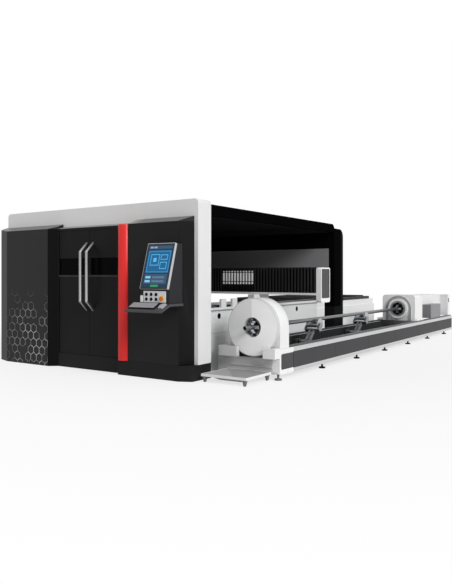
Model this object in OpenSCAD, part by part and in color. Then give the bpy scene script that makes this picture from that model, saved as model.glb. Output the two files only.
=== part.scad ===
// Fiber laser cutting machine for sheet and tube: an enclosed cabin with an operator front,
// a gantry over a flat bed, an exchange table behind it and a tube lathe bed along its right side.
// Front faces -Y, length runs along +Y, the floor is z = 0.

/* [Overall] */
// Width over the left cabinet skin and the tube bed
overall_w = 4490; // [4300:10:4800]
// Length from the keyboard shelf to the tail of the tube bed
overall_l = 9030; // [8800:10:9400]

/* [Cabin] */
// Width of the tube unit's side beyond the cabin
tube_side_w = 830; // [825:1:850]
// Height of the front arch
cabin_h = 2210; // [2180:5:2300]
// Length of the cabin behind the fascia
cabin_l = 4310; // [4250:10:4400]
// Step of the left cabinet skin outside the arch
skin_step = 40; // [20:5:60]
// Reach of the keyboard shelf in front of the cabinets
console_reach = 410; // [380:5:450]
// Depth of the front cabinets
cabinet_d = 190; // [180:5:210]
// Height of the fascia that shows over the cabinets
fascia_h = 284; // [270:2:290]
// Depth of the arch
arch_d = 270; // [240:5:300]
// Width of each arch pillar
arch_t = 60; // [50:2:80]
// Height of the arch beam
arch_beam_h = 300; // [270:5:320]
// Radius of the arch's top corners
arch_r = 55; // [40:5:100]
// Height of the plinth under the front
plinth_h = 190; // [170:5:210]
// Step from the arch down to the roof
roof_drop = 50; // [40:2:70]
// Roof sheet thickness
roof_t = 40; // [30:2:60]
// Height of the roof's edge beams
roof_edge_h = 100; // [80:5:120]
// Wall thickness
wall_t = 50; // [40:2:70]
// Depth of the rear frame
rear_d = 360; // [320:10:400]
// Step from the arch down to the rear frame's top
rear_drop = 120; // [100:5:140]
// Radius of the rear frame's top edge
rear_r = 140; // [100:5:170]
// Height of the rear opening
rear_open_h = 1420; // [1390:5:1460]
// Width of the right rear post
rear_post_w = 190; // [150:5:200]

/* [Doors] */
// Share of the cabin's width that is the door opening
door_open_share = 0.3412; // [0.33:0.0004:0.35]
// Share of the cabin's width that is left of the door opening
door_left_share = 0.3425; // [0.33:0.0005:0.355]
// Depth of the door face behind the cabinet front
door_recess = 100; // [95:1:110]
// Thickness of a door leaf
door_t = 40; // [30:1:45]
// Travel of each leaf as a share of half the opening
door_travel_share = 0.83; // [0.7:0.01:0.83]
// Lower edge of the window band as a share of the cabinet height
window_z_share = 0.6646; // [0.65:0.0002:0.675]
// Height of the window band
window_h = 230; // [200:5:260]
// Side margin of a window in its leaf
window_margin = 16; // [12:1:40]
// Handle tube diameter
handle_d = 42; // [36:1:46]
// Handle standoff from the door face
handle_reach = 110; // [90:2:130]
// Height of the handle's lower end as a share of the cabinet height
handle_z_share = 0.4258; // [0.41:0.0002:0.445]
// Length of the handle as a share of the cabinet height
handle_l_share = 0.4569; // [0.42:0.0001:0.475]
// Distance of a handle from the meeting seam
handle_off = 60; // [50:2:80]
// Width of the half-round pillar
pillar_w = 175; // [160:1:190]

/* [Console] */
// Screen housing width
hmi_w = 440; // [420:5:460]
// Distance of the housing from the right side of the arch
hmi_from_right = 90; // [70:5:110]
// Depth of the housing at the button panel
hmi_d = 245; // [230:5:260]
// Height of the housing's underside
hmi_z = 940; // [920:5:960]
// Height of the lower upright face
hmi_face_h = 165; // [150:5:180]
// Monitor width
monitor_w = 430; // [410:5:440]
// Monitor height
monitor_h = 570; // [540:5:590]
// Monitor frame thickness
monitor_t = 34; // [28:1:40]
// Lean of the monitor
monitor_tilt = 16; // [12:1:20]
// Frame width round the screen
bezel_w = 16; // [12:1:24]
// Button panel width
panel_w = 340; // [320:5:360]
// Button panel height
panel_h = 135; // [120:5:150]
// Button panel thickness
panel_t = 12; // [8:1:16]
// Push button diameter
button_d = 30; // [24:1:34]
// Stop button diameter
stop_d = 46; // [40:1:52]
// Shelf width
shelf_w = 575; // [560:5:590]
// Shelf drop at its front edge
shelf_drop = 85; // [70:1:95]
// Shelf thickness
shelf_t = 15; // [12:1:20]
// Keyboard width
keyboard_w = 400; // [360:5:420]
// Keyboard depth
keyboard_d = 118; // [100:2:124]

/* [Bed] */
// Distance of the bed's left side from the cabin's left side
bed_from_left = 545; // [525:5:580]
// Distance of the bed's right side from the cabin's right side
bed_from_right = 215; // [205:5:230]
// Height of the bed
bed_h = 850; // [840:2:855]
// Bed length
bed_l = 3345; // [3300:5:3400]
// Bed start behind the fascia
bed_from_front = 355; // [330:5:370]
// Bed side wall thickness
bed_t = 80; // [60:2:90]
// Linear rail width
rail_w = 30; // [24:1:36]
// Linear rail height
rail_h = 26; // [22:1:30]

/* [Pallets] */
// Width of the lower pallet
pallet_w = 1550; // [1500:10:1560]
// Length of a pallet
pallet_l = 3250; // [3200:10:3260]
// Height of a pallet frame
pallet_h = 56; // [50:1:60]
// Height that the slats stand over the frame
slat_up = 24; // [18:1:26]
// Slat thickness
slat_t = 4; // [3:0.5:6]
// Pitch of the slats
slat_pitch = 65; // [55:1:90]
// Underside height of the lower pallet
pallet_low_z = 640; // [630:1:650]
// Underside height of the upper pallet
pallet_high_z = 756; // [750:1:760]
// Pallet travel
pallet_travel = 3800; // [3750:10:3850]

/* [Gantry] */
// Gantry beam front face behind the fascia
gantry_from_front = 1780; // [1760:5:1800]
// Beam depth without the bellows
beam_d = 195; // [180:5:210]
// Depth of the bellows
bellows_d = 92; // [80:1:100]
// Beam underside height
beam_z = 1000; // [990:2:1010]
// Beam top height
beam_top = 1385; // [1370:5:1400]
// Height of the beam's lower flange
beam_flange_h = 30; // [26:2:40]
// Bellows pleat pitch
pleat_pitch = 44; // [38:1:60]
// Thickness of the bellows sheet
pleat_t = 5; // [4:0.5:7]
// Gantry end cap thickness
cap_t = 75; // [60:5:100]
// Distance of the gantry's right end from the machine's right side
cap_from_right = 50; // [40:2:70]
// Cutting head reach in front of the beam's bellows
head_reach = 520; // [500:5:540]
// Head carriage width
carriage_w = 300; // [260:5:320]
// Cutting head body width
head_w = 110; // [100:2:130]
// Nozzle height at rest
nozzle_z = 900; // [890:2:920]

/* [Tube unit] */
// Tube bed width
tube_bed_w = 815; // [800:1:820]
// Tube bed length
tube_bed_l = 7900; // [7850:10:7950]
// Tube bed top
tube_bed_h = 380; // [370:2:390]
// Underside of the tube bed
tube_bed_z = 70; // [60:2:80]
// Width of each tube bed beam
tube_beam_w = 100; // [90:2:110]
// Height of the tube axis
tube_z = 635; // [625:1:645]
// Distance of the tube axis from the machine's right side
tube_from_right = 360; // [350:1:365]
// Stock tube diameter
stock_d = 56; // [50:1:60]
// Stock tube wall
stock_wall = 4; // [3:0.5:6]
// Chuck cover diameter
cover_d = 720; // [700:2:722]
// Chuck cover thickness
cover_t = 60; // [50:2:70]
// Chuck cover opening diameter
cover_hole_d = 243; // [236:1:250]
// Front chuck housing depth
chuck_d = 225; // [210:5:240]
// Rotor diameter
rotor_d = 300; // [280:2:310]
// Jaw width
jaw_w = 40; // [34:1:44]
// Jaw length along the radius
jaw_l = 46; // [40:1:48]
// Jaw length along the axis
jaw_d = 86; // [76:1:92]
// Rear chuck face behind the tube bed's near end
rear_chuck_y = 5360; // [5340:5:5400]
// Rear chuck housing width
rear_chuck_w = 640; // [620:5:650]
// Rear chuck housing top
rear_chuck_top = 900; // [880:5:920]
// Rear chuck housing depth
rear_chuck_d = 450; // [420:5:480]
// Rear cabinet length
rear_box_l = 1900; // [1800:10:1950]
// Pitch of the levelling feet
foot_pitch = 1228; // [1216:2:1236]
// First tube support behind the bed's near end
support_first = 1680; // [1640:5:1700]
// Pitch of the tube supports
support_pitch = 1800; // [1780:5:1850]

/* [Catch tray] */
// Tray width
tray_w = 640; // [600:5:650]
// Tray length
tray_l = 570; // [540:5:590]
// Tray rim height
tray_h = 100; // [90:2:110]

/* [Hidden] */
$fn = 64;

// Shared clearances and the overrun of every cut
run_gap = 0.3;
fit_gap = 0.05;
over = 1;

// Places of the cabin
left_x = -overall_w / 2;
right_x = overall_w / 2;
cabin_w = overall_w - skin_step - tube_side_w;
cabin_x0 = left_x + skin_step;
cabin_x1 = cabin_x0 + cabin_w;
cabinet_h = cabin_h - fascia_h;
roof_z = cabin_h - roof_drop;
rear_h = cabin_h - rear_drop;
front_y = -overall_l / 2 + console_reach;
arch_y = front_y + cabinet_d;
inner_y = arch_y + arch_d;
rear_y = arch_y + cabin_l;
rear_front_y = rear_y - rear_d;
door_x0 = cabin_x0 + cabin_w * door_left_share;
door_x1 = door_x0 + cabin_w * door_open_share;
door_travel = cabin_w * door_open_share * door_travel_share / 2;
window_z = cabinet_h * window_z_share;
handle_z = cabinet_h * handle_z_share;
handle_l = cabinet_h * handle_l_share;
door_y = front_y + door_recess;
seam_x = (door_x0 + door_x1) / 2;
leaf_gap = 4;
leaf_z0 = plinth_h + run_gap;
leaf_top_gap = 30;
leaf_z1 = cabinet_h - leaf_top_gap;
pocket_gap = 8;

// Left cabinet plan
left_chamfer_x = 260;
left_chamfer_y = 95;
recess_chamfer = 110;

// Right cabinet plan
right_chamfer_x = 160;
right_chamfer_y = 80;
arch_strip = 55;
pillar_x1 = door_x1 + pillar_w;
pillar_out = 40;

// Seams between sheets
seam_w = 4;

// Sloped caps over the cabinets
cap_lip = 4;
cap_rise = 74;
door_cap_rise = 34;

// Bed
bed_x1 = cabin_x1 - bed_from_right;
bed_x0 = cabin_x0 + bed_from_left;
bed_y0 = arch_y + bed_from_front;
bed_y1 = bed_y0 + bed_l;
bed_mid = (bed_x0 + bed_x1) / 2;
bed_floor_z = 120;
bed_floor_t = 40;
bed_rib_h = 420;
bed_rib_t = 60;
bed_hole_d = 76;
bed_hole_share = [0.12, 0.34, 0.56, 0.78];
bed_seam_z_share = 0.6;
bed_box_shares = [0.12, 0.2];
bed_box_l = 120;
bed_box_h = 110;
bed_box_gap = 4;
bed_flange = 36;
bed_flange_h = 30;
rail_inset = 25;

// Pallet tracks
track_wide = 50;
track_t = 45;
pallet_back_gap = 90;
pallet_in_y = rear_front_y - pallet_l - pallet_back_gap;
pallet_out_y = pallet_in_y + pallet_travel;
pallet_edge = 70;
track_gap = 3;

// Gantry
beam_front = arch_y + gantry_from_front + bellows_d;
bellows_y = arch_y + gantry_from_front;
beam_back = beam_front + beam_d;
shoe_over = 30;
beam_x0 = bed_x0 - shoe_over;
beam_x1 = right_x - cap_from_right - cap_t;
shoe_l = 420;
shoe_w = 110;
bellows_z = beam_z + beam_flange_h;
park_off = 230;
carriage_x = bed_x0 + park_off;
carriage_x1 = carriage_x + carriage_w;
head_y = bellows_y - head_reach;
head_side = 15;
head_x = carriage_x1 - head_w / 2 - head_side;

// Tube unit
tube_x = right_x - tube_from_right;
tube_bed_x0 = right_x - tube_bed_w;
tube_bed_y0 = overall_l / 2 - tube_bed_l;
tube_bed_y1 = overall_l / 2;
cover_front = 50;
cover_y0 = tube_bed_y0 - cover_front;
chuck_y0 = cover_y0 + cover_t;
chuck_y1 = chuck_y0 + chuck_d;
rear_y0 = tube_bed_y0 + rear_chuck_y;
rear_y1 = rear_y0 + rear_chuck_d;
lathe_rail_z = tube_bed_h + rail_h;
end_cap_l = 355;
guard_gap = 8;
guard_d = 62;
guard_w = 285;
guard_z = 272;
guard_top = 396;
guard_arm_w = 72;
lip_z = 152;
lip_d = 14;
ledge_w = 168;
cap_corner = 34;

// A box between two corners
module block(x0, x1, y0, y1, z0, z1) {
  translate([x0, y0, z0])
    cube([x1 - x0, y1 - y0, z1 - z0]);
}

// A side profile in Y and Z, drawn from x0 to x1
module side_profile(x0, x1, points) {
  translate([x0, 0, 0])
    rotate([90, 0, 90])
      linear_extrude(height = x1 - x0)
        polygon(points);
}

// A plate from x0 to x1 whose outline in Y and Z has round corners
module rounded_plate(x0, x1, y0, y1, z0, z1, r) {
  translate([x0, 0, 0])
    rotate([90, 0, 90])
      linear_extrude(height = x1 - x0)
        union() {
          translate([y0 + r, z0])
            square([y1 - y0 - 2 * r, z1 - z0]);
          translate([y0, z0 + r])
            square([y1 - y0, z1 - z0 - 2 * r]);
          for (y = [y0 + r, y1 - r])
            for (z = [z0 + r, z1 - r])
              translate([y, z])
                circle(r = r);
        }
}

// A cylinder along Y
module rod_y(x, z, y0, y1, r) {
  translate([x, y0, z])
    rotate([-90, 0, 0])
      cylinder(h = y1 - y0, r = r);
}

// A cylinder along X
module rod_x(y, z, x0, x1, r) {
  translate([x0, y, z])
    rotate([0, 90, 0])
      cylinder(h = x1 - x0, r = r);
}

// Cabinet plans, seen from above, without the corner that closes each of them at the door
function left_plan() = [
  [left_x, arch_y],
  [left_x, front_y + left_chamfer_y],
  [left_x + left_chamfer_x, front_y],
  [door_x0 - recess_chamfer, front_y],
  [door_x0, front_y + recess_chamfer * recess_share]
];
recess_share = 0.8;
function right_plan() = [
  [pillar_x1, front_y],
  [cabin_x1 - right_chamfer_x, front_y],
  [cabin_x1 - arch_strip, arch_y]
];

// Room behind the cabinet fronts into which a door leaf slides
module door_pocket() {
  block(door_x0 - door_travel - pocket_gap, door_x1 + door_travel + pocket_gap,
        door_y - pocket_gap, arch_y + over, plinth_h, cabinet_h - leaf_top_gap / 2);
}

module front_frame() {
  color("#1c1c1c") {
    linear_extrude(height = plinth_h)
      polygon([
        [door_x0, arch_y],
        [door_x0, door_y - pocket_gap],
        [door_x1, door_y - pocket_gap],
        [door_x1, front_y],
        [cabin_x1 - right_chamfer_x, front_y],
        [cabin_x1, front_y + right_chamfer_y],
        [cabin_x1, inner_y],
        [cabin_x1 - arch_t, inner_y],
        [cabin_x1 - arch_t, arch_y]
      ]);
    block(door_x0, door_x1, door_y - pocket_gap, arch_y, leaf_z1 + run_gap, cabinet_h);
  }
}

// One sloped cap over a plan: flat below, rising to the arch
module sloped_cap(plan, x0, x1, y0, rise) {
  intersection() {
    translate([0, 0, cabinet_h])
      linear_extrude(height = rise)
        polygon(plan);
    side_profile(x0, x1, [
      [y0, cabinet_h],
      [arch_y, cabinet_h],
      [arch_y, cabinet_h + rise],
      [y0, cabinet_h + cap_lip]
    ]);
  }
}
module front_caps() {
  plan = concat(left_plan(), [
    [door_x0, door_y - pocket_gap],
    [door_x1, door_y - pocket_gap],
    [door_x1, front_y + pillar_out],
    [pillar_x1, front_y + pillar_out]
  ], right_plan());
  color("#959595") {
    sloped_cap(plan, left_x, door_x0, front_y, cap_rise);
    sloped_cap(plan, door_x0, pillar_x1, door_y - pocket_gap, door_cap_rise);
    sloped_cap(plan, pillar_x1, cabin_x1, front_y, cap_rise);
  }
}

module left_cabinet() {
  color("#363636")
    difference() {
      linear_extrude(height = cabinet_h)
        polygon(concat(left_plan(), [[door_x0, arch_y]]));
      door_pocket();
    }
}

module right_cabinet() {
  color("#232323")
    difference() {
      translate([0, 0, plinth_h])
        linear_extrude(height = cabinet_h - plinth_h)
          polygon(concat([[pillar_x1, arch_y]], right_plan()));
      door_pocket();
    }
}

module red_pillar() {
  color("#c63230")
    difference() {
      union() {
        intersection() {
          translate([door_x1 + pillar_w / 2, front_y + pillar_out, plinth_h])
            cylinder(h = cabinet_h - plinth_h, r = pillar_w / 2);
          block(door_x1, pillar_x1, front_y - pillar_w, front_y + pillar_out, plinth_h, cabinet_h);
        }
        block(door_x1, pillar_x1, front_y + pillar_out, arch_y, plinth_h, cabinet_h);
      }
      door_pocket();
    }
}

// The arch outline with round top corners
module arch_outline() {
  union() {
    translate([cabin_x0, 0])
      square([cabin_w, cabin_h - arch_r]);
    translate([cabin_x0 + arch_r, 0])
      square([cabin_w - 2 * arch_r, cabin_h]);
    for (x = [cabin_x0 + arch_r, cabin_x1 - arch_r])
      translate([x, cabin_h - arch_r])
        circle(r = arch_r);
  }
}

module front_arch() {
  color("#e6e6e6")
    difference() {
      translate([0, inner_y, 0])
        rotate([90, 0, 0])
          linear_extrude(height = arch_d)
            arch_outline();
      block(cabin_x0 + arch_t, cabin_x1 - arch_t, arch_y - over, inner_y + over,
            -over, cabin_h - arch_beam_h);
      block(cabin_x1 - arch_t - over, cabin_x1 + over, arch_y - over, inner_y + over, -over, plinth_h);
      for (share = seam_shares)
        block(cabin_x0 + cabin_w * share - seam_w / 2, cabin_x0 + cabin_w * share + seam_w / 2,
              arch_y - over, arch_y + seam_w, cabinet_h, cabin_h + over);
    }
}
seam_shares = [0.315, 0.771];

module roof_shell() {
  color("#0c0c0c")
    difference() {
      block(cabin_x0, cabin_x1, inner_y, rear_front_y, roof_z - roof_t - roof_edge_h, roof_z);
      block(cabin_x0 + wall_t, cabin_x1 - wall_t, inner_y - over, rear_front_y - wall_t,
            roof_z - roof_t - roof_edge_h - over, roof_z - roof_t);
      block(cabin_x0 - over, cabin_x0 + wall_t + over, inner_y - over, rear_front_y + over,
            roof_z - roof_t - roof_edge_h - over, roof_z - roof_t);
      difference() {
        block(cabin_x0 - over, cabin_x1 + over, rear_front_y - roof_edge_h, rear_front_y + over,
              roof_z - roof_edge_h, roof_z + over);
        rod_x(rear_front_y - roof_edge_h, roof_z - roof_edge_h, cabin_x0 - 2 * over,
              cabin_x1 + 2 * over, roof_edge_h);
      }
    }
}

module left_wall() {
  color("#d8d8d8")
    block(cabin_x0, cabin_x0 + wall_t, inner_y, rear_front_y, 0, roof_z - roof_t);
}

module rear_frame() {
  color("#141414")
    difference() {
      block(cabin_x0, cabin_x1, rear_front_y, rear_y, 0, rear_h);
      block(bed_x0 - shoe_over, cabin_x1 - rear_post_w, rear_front_y - over, rear_y + over,
            -over, rear_open_h);
      difference() {
        block(cabin_x0 - over, cabin_x1 + over, rear_y - rear_r, rear_y + over, rear_h - rear_r,
              rear_h + over);
        rod_x(rear_y - rear_r, rear_h - rear_r, cabin_x0 - 2 * over, cabin_x1 + 2 * over, rear_r);
      }
    }
}

// Console at the right cabinet
hmi_x1 = cabin_x1 - hmi_from_right;
hmi_x0 = hmi_x1 - hmi_w;
hmi_mid = (hmi_x0 + hmi_x1) / 2;
hmi_y = front_y - hmi_d;
hmi_top_z = hmi_z + hmi_face_h;

// Places a child on the leaning face, z up the face and y into the housing
module on_monitor_face() {
  translate([hmi_mid, hmi_y, hmi_top_z])
    rotate([-monitor_tilt, 0, 0])
      translate([0, -run_gap, 0])
        children();
}

module hmi_housing() {
  color("#2b2b2d")
    side_profile(hmi_x0, hmi_x1, [
      [front_y, hmi_z],
      [hmi_y, hmi_z],
      [hmi_y, hmi_top_z],
      [hmi_y + monitor_h * sin(monitor_tilt), hmi_top_z + monitor_h * cos(monitor_tilt)],
      [front_y, hmi_top_z + monitor_h * cos(monitor_tilt)]
    ]);
}

screen_d = 6;
module screen_space() {
  translate([-monitor_w / 2 + bezel_w, -monitor_t - over, bezel_w])
    cube([monitor_w - 2 * bezel_w, screen_d + over, monitor_h - 2 * bezel_w]);
}

module monitor_bezel() {
  color("#b9bcc0")
    on_monitor_face()
      difference() {
        translate([-monitor_w / 2, -monitor_t, 0])
          cube([monitor_w, monitor_t, monitor_h]);
        screen_space();
      }
}

module monitor_screen() {
  color("#2a3b50")
    on_monitor_face()
      translate([-monitor_w / 2 + bezel_w, -monitor_t + screen_d / 2, bezel_w])
        cube([monitor_w - 2 * bezel_w, screen_d / 2, monitor_h - 2 * bezel_w]);
}

// Button places as shares of the panel, from its lower left corner
button_shares = [[0.14, 0.7], [0.36, 0.7], [0.58, 0.7], [0.14, 0.28], [0.36, 0.28], [0.58, 0.28]];
stop_share = [0.82, 0.34];
panel_z = hmi_z + (hmi_face_h - panel_h) / 2;
panel_x = hmi_mid - panel_w / 2;
button_up = 14;
stop_stem_share = 0.5;
stop_plate_t = 3;
stop_travel = 6;
stop_head = 16;

module button_panel() {
  color("#c9cbcc")
    difference() {
      block(panel_x, panel_x + panel_w, hmi_y - panel_t, hmi_y, panel_z, panel_z + panel_h);
      rod_y(panel_x + panel_w * stop_share[0], panel_z + panel_h * stop_share[1],
            hmi_y - panel_t - over, hmi_y + over, stop_d * stop_stem_share / 2 + fit_gap);
    }
}

module push_buttons() {
  color("#17181a")
    for (s = button_shares)
      translate([panel_x + panel_w * s[0], hmi_y - panel_t, panel_z + panel_h * s[1]])
        rotate([90, 0, 0]) {
          cylinder(h = button_up / 2, r = button_d / 2);
          translate([0, 0, button_up / 2])
            cylinder(h = button_up / 2, r1 = button_d * button_cap_share / 2, r2 = button_d / 3);
        }
}
button_cap_share = 0.8;

module stop_button() {
  color("#d2461f")
    translate([panel_x + panel_w * stop_share[0], hmi_y - panel_t,
               panel_z + panel_h * stop_share[1]])
      rotate([90, 0, 0]) {
        translate([0, 0, -panel_t + stop_travel + run_gap])
          cylinder(h = panel_t + stop_plate_t - run_gap, r = stop_d * stop_stem_share / 2);
        translate([0, 0, stop_travel + stop_plate_t])
          rotate_extrude()
            polygon([
              [0, 0],
              [stop_d / 2 * stop_neck_share, 0],
              [stop_d / 2, stop_head / 2],
              [stop_d / 2 * stop_neck_share, stop_head],
              [0, stop_head]
            ]);
      }
}
stop_neck_share = 0.86;

// Shelf under the console, sloping down to the operator
shelf_past = 15;
shelf_x1 = hmi_x1 + shelf_past;
shelf_x0 = shelf_x1 - shelf_w;
shelf_front = front_y - console_reach;
shelf_run = hmi_y - shelf_front;
shelf_lip = 8;

module keyboard_shelf() {
  color("#a9abac")
    side_profile(shelf_x0, shelf_x1, [
      [front_y, hmi_z],
      [hmi_y, hmi_z],
      [shelf_front + shelf_lip, hmi_z - shelf_drop],
      [shelf_front + shelf_lip, hmi_z - shelf_drop + shelf_lip],
      [shelf_front, hmi_z - shelf_drop + shelf_lip],
      [shelf_front, hmi_z - shelf_drop - shelf_t],
      [hmi_y, hmi_z - 2 * shelf_t],
      [front_y, hmi_z - 2 * shelf_t]
    ]);
}

// Places a child on the shelf's sloping face
module on_shelf() {
  translate([0, hmi_y, hmi_z])
    rotate([atan(shelf_drop / (shelf_run - shelf_lip)), 0, 0])
      translate([0, 0, run_gap])
        children();
}

keyboard_h = 16;
keyboard_inset = 20;
key_rows = 5;
key_columns = 15;
key_up = 5;
key_share = 0.82;
mouse_l = 96;
mouse_w = 58;
mouse_h = 30;

edge_share = 0.25;
module keyboard() {
  pitch_x = keyboard_w / (key_columns + 2 * edge_share);
  pitch_y = keyboard_d / (key_rows + 2 * edge_share);
  start_share = (1 - key_share) / 2 + edge_share;
  color("#1b1b1c")
    on_shelf()
      translate([shelf_x0 + keyboard_inset, -keyboard_inset / 2 - keyboard_d, 0]) {
        cube([keyboard_w, keyboard_d, keyboard_h]);
        for (row = [0 : key_rows - 1])
          for (column = [0 : key_columns - 1])
            translate([pitch_x * (column + start_share), pitch_y * (row + start_share), keyboard_h])
              cube([pitch_x * key_share, pitch_y * key_share, key_up]);
      }
}

module mouse() {
  color("#202022")
    on_shelf()
      translate([shelf_x1 - 2 * keyboard_inset - mouse_w, -keyboard_inset - mouse_l, 0])
        intersection() {
          cube([mouse_w, mouse_l, mouse_h]);
          translate([mouse_w / 2, mouse_l / 2, -mouse_l])
            sphere(r = mouse_l + mouse_h);
        }
}

// Cutting bed with its side walls, ribs, pallet tracks and a floor that runs forward to the plinth
module track_pair(y0, y1, z0) {
  for (side = [-1, 1])
    translate([bed_mid, 0, 0])
      mirror([side < 0 ? 1 : 0, 0, 0])
        translate([0, y1, 0])
          rotate([90, 0, 0])
            linear_extrude(height = y1 - y0)
              polygon([
                [pallet_w / 2 - track_wide, z0],
                [pallet_w / 2 + track_gap + track_wide + track_t, z0],
                [pallet_w / 2 + track_gap + track_wide + track_t, pallet_high_z - run_gap],
                [pallet_w / 2 + track_gap, pallet_high_z - run_gap],
                [pallet_w / 2 + track_gap, pallet_low_z - run_gap],
                [pallet_w / 2 - track_wide, pallet_low_z - run_gap]
              ]);
}

module bed_frame() {
  color("#c4c6c7") {
    for (x = [bed_x0, bed_x1 - bed_t])
      difference() {
        block(x, x + bed_t, bed_y0, bed_y1, 0, bed_h);
        for (s = bed_hole_share)
          rod_x(bed_y0 + bed_l * s, bed_h * bed_hole_z_share, x - over, x + bed_t + over, bed_hole_d / 2);
        block(bed_x1 - seam_w, bed_x1 + over, bed_y0 - over, bed_y1 + over,
              bed_h * bed_seam_z_share, bed_h * bed_seam_z_share + seam_w);
      }
    for (share = bed_box_shares)
      block(bed_x1 + bed_box_gap, bed_x1 + bed_flange, bed_y0 + bed_l * share,
            bed_y0 + bed_l * share + bed_box_l, bed_h, bed_h + bed_box_h);
    block(bed_x1, bed_x1 + bed_flange, bed_y0, bed_y1, bed_h - bed_flange_h, bed_h);
    block(bed_x0 + bed_t, bed_x1 - bed_t, bed_y0, bed_y1, bed_floor_z, bed_floor_z + bed_floor_t);
    for (y = [bed_y0, (bed_y0 + bed_y1) / 2, bed_y1 - bed_rib_t])
      block(bed_x0 + bed_t, bed_x1 - bed_t, y, y + bed_rib_t, bed_floor_z + bed_floor_t,
            bed_floor_z + bed_floor_t + bed_rib_h);
    track_pair(bed_y0, bed_y1, bed_floor_z + bed_floor_t + bed_rib_h);
    block(door_x0, door_x1, arch_y, bed_y0, bed_floor_z, bed_floor_z + bed_floor_t);
  }
}
bed_hole_z_share = 0.866;

module linear_rails() {
  color("#8f9296") {
    for (x = [bed_x0 + rail_inset, bed_x1 - rail_inset - rail_w])
      block(x, x + rail_w, bed_y0, bed_y1, bed_h, bed_h + rail_h);
    for (x = [tube_bed_x0 + rail_inset, right_x - rail_inset - rail_w])
      block(x, x + rail_w, chuck_y1 + rail_inset, tube_bed_y1 - rail_inset, tube_bed_h, lathe_rail_z);
  }
}

exchange_leg_w = 110;
exchange_skirt_t = 30;
exchange_z = 90;
module exchange_frame() {
  exchange_y1 = pallet_out_y + pallet_l + exchange_leg_w;
  half_w = pallet_w / 2 + track_gap + track_wide + track_t;
  x0 = bed_mid - half_w;
  x1 = bed_mid + half_w;
  color("#dcdcdc") {
    track_pair(bed_y1, exchange_y1, pallet_low_z - exchange_leg_w);
    for (x = [x0, x1 - exchange_leg_w])
      for (y = [rear_y, (rear_y + exchange_y1) / 2, exchange_y1 - exchange_leg_w])
        block(x, x + exchange_leg_w, y, y + exchange_leg_w, 0, pallet_low_z - exchange_leg_w);
    for (x = [x0 - exchange_skirt_t, x1])
      block(x, x + exchange_skirt_t, rear_y, exchange_y1, exchange_z, pallet_low_z);
    block(x0, x1, exchange_y1, exchange_y1 + exchange_skirt_t, exchange_z, pallet_low_z);
  }
}

// A welded pallet frame with upright slats across it
module pallet(width, y0, z0) {
  x0 = bed_mid - width / 2;
  slats = floor((pallet_l - 2 * pallet_edge) / slat_pitch);
  difference() {
    block(x0, x0 + width, y0, y0 + pallet_l, z0, z0 + pallet_h);
    block(x0 + pallet_edge, x0 + width - pallet_edge, y0 + pallet_edge, y0 + pallet_l - pallet_edge,
          z0 - over, z0 + pallet_h + over);
  }
  for (n = [1 : slats - 1])
    block(x0 + pallet_edge, x0 + width - pallet_edge, y0 + pallet_edge + n * slat_pitch,
          y0 + pallet_edge + n * slat_pitch + slat_t, z0 + pallet_h / 3, z0 + pallet_h + slat_up);
}

module pallet_lower() {
  color("#6f7072")
    pallet(pallet_w, pallet_in_y, pallet_low_z);
}

module pallet_upper() {
  color("#6f7072")
    pallet(pallet_w + 2 * track_wide, pallet_out_y, pallet_high_z);
}

// Tube bed: two long beams, a floor, hinge lugs and a tie to the cabin's rear post
skirt_h = 50;
panel_depth = 8;
panel_top = 326;
tail_w = 30;
lug_t = 24;
lug_x = 150;
pivot_z = 332;
pivot_back = 230;
pivot_r = 15;
roller_r = 45;
roller_z = tube_z - stock_d / 2 - run_gap - roller_r;
channel_h = 140;
post_w = 85;
post_l = 185;
tie_inset = 60;
support_y = [tube_bed_y0 + support_first, tube_bed_y0 + support_first + support_pitch];

module tube_bed() {
  floor_z = tube_bed_z + skirt_h;
  color("#e8e8e8") {
    block(tube_bed_x0, tube_bed_x0 + tube_beam_w, tube_bed_y0, tube_bed_y1, tube_bed_z, tube_bed_h);
    difference() {
      block(right_x - tube_beam_w, right_x, tube_bed_y0 + end_cap_l, tube_bed_y1, tube_bed_z, tube_bed_h);
      block(right_x - panel_depth, right_x + over, tube_bed_y0 + end_cap_l - over, tube_bed_y1 - tail_w,
            floor_z, panel_top);
    }
    block(tube_bed_x0 + tube_beam_w, right_x - tube_beam_w, tube_bed_y0, tube_bed_y1, tube_bed_z, floor_z);
    block(tube_bed_x0 + tube_beam_w, right_x - tube_beam_w, tube_bed_y0, tube_bed_y0 + channel_h / 2,
          floor_z, floor_z + channel_h);
    block(tube_bed_x0 - post_w, tube_bed_x0, tube_bed_y0, tube_bed_y0 + post_l, tube_bed_z, tube_bed_h);
    block(tube_bed_x0, tube_bed_x0 + guard_w - guard_d / 2, cover_y0 - guard_gap - guard_d,
          cover_y0 - guard_gap, guard_z, guard_top);
    translate([tube_bed_x0 + guard_w - guard_d / 2, cover_y0 - guard_gap - guard_d / 2, guard_z])
      cylinder(h = guard_top - guard_z, r = guard_d / 2);
    block(tube_bed_x0 + tube_beam_w, right_x - tube_beam_w, tube_bed_y0 - lip_d, tube_bed_y0,
          lip_z, lip_z + lip_d);
    block(tube_bed_x0, tube_bed_x0 + guard_arm_w, cover_y0 - guard_gap, tube_bed_y0,
          guard_z, guard_top);
    block(cabin_x1, tube_bed_x0, rear_front_y + tie_inset, rear_y - tie_inset, floor_z, panel_top);
    for (y = support_y) {
      for (x = [tube_x - lug_x - lug_t, tube_x + lug_x])
        block(x, x + lug_t, y - pivot_back - lug_x / 2, y - pivot_back + lug_x / 2,
              floor_z, pivot_z + 2 * pivot_r);
      rod_x(y - pivot_back, pivot_z, tube_x - lug_x, tube_x + lug_x, pivot_r);
    }
  }
}

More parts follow.
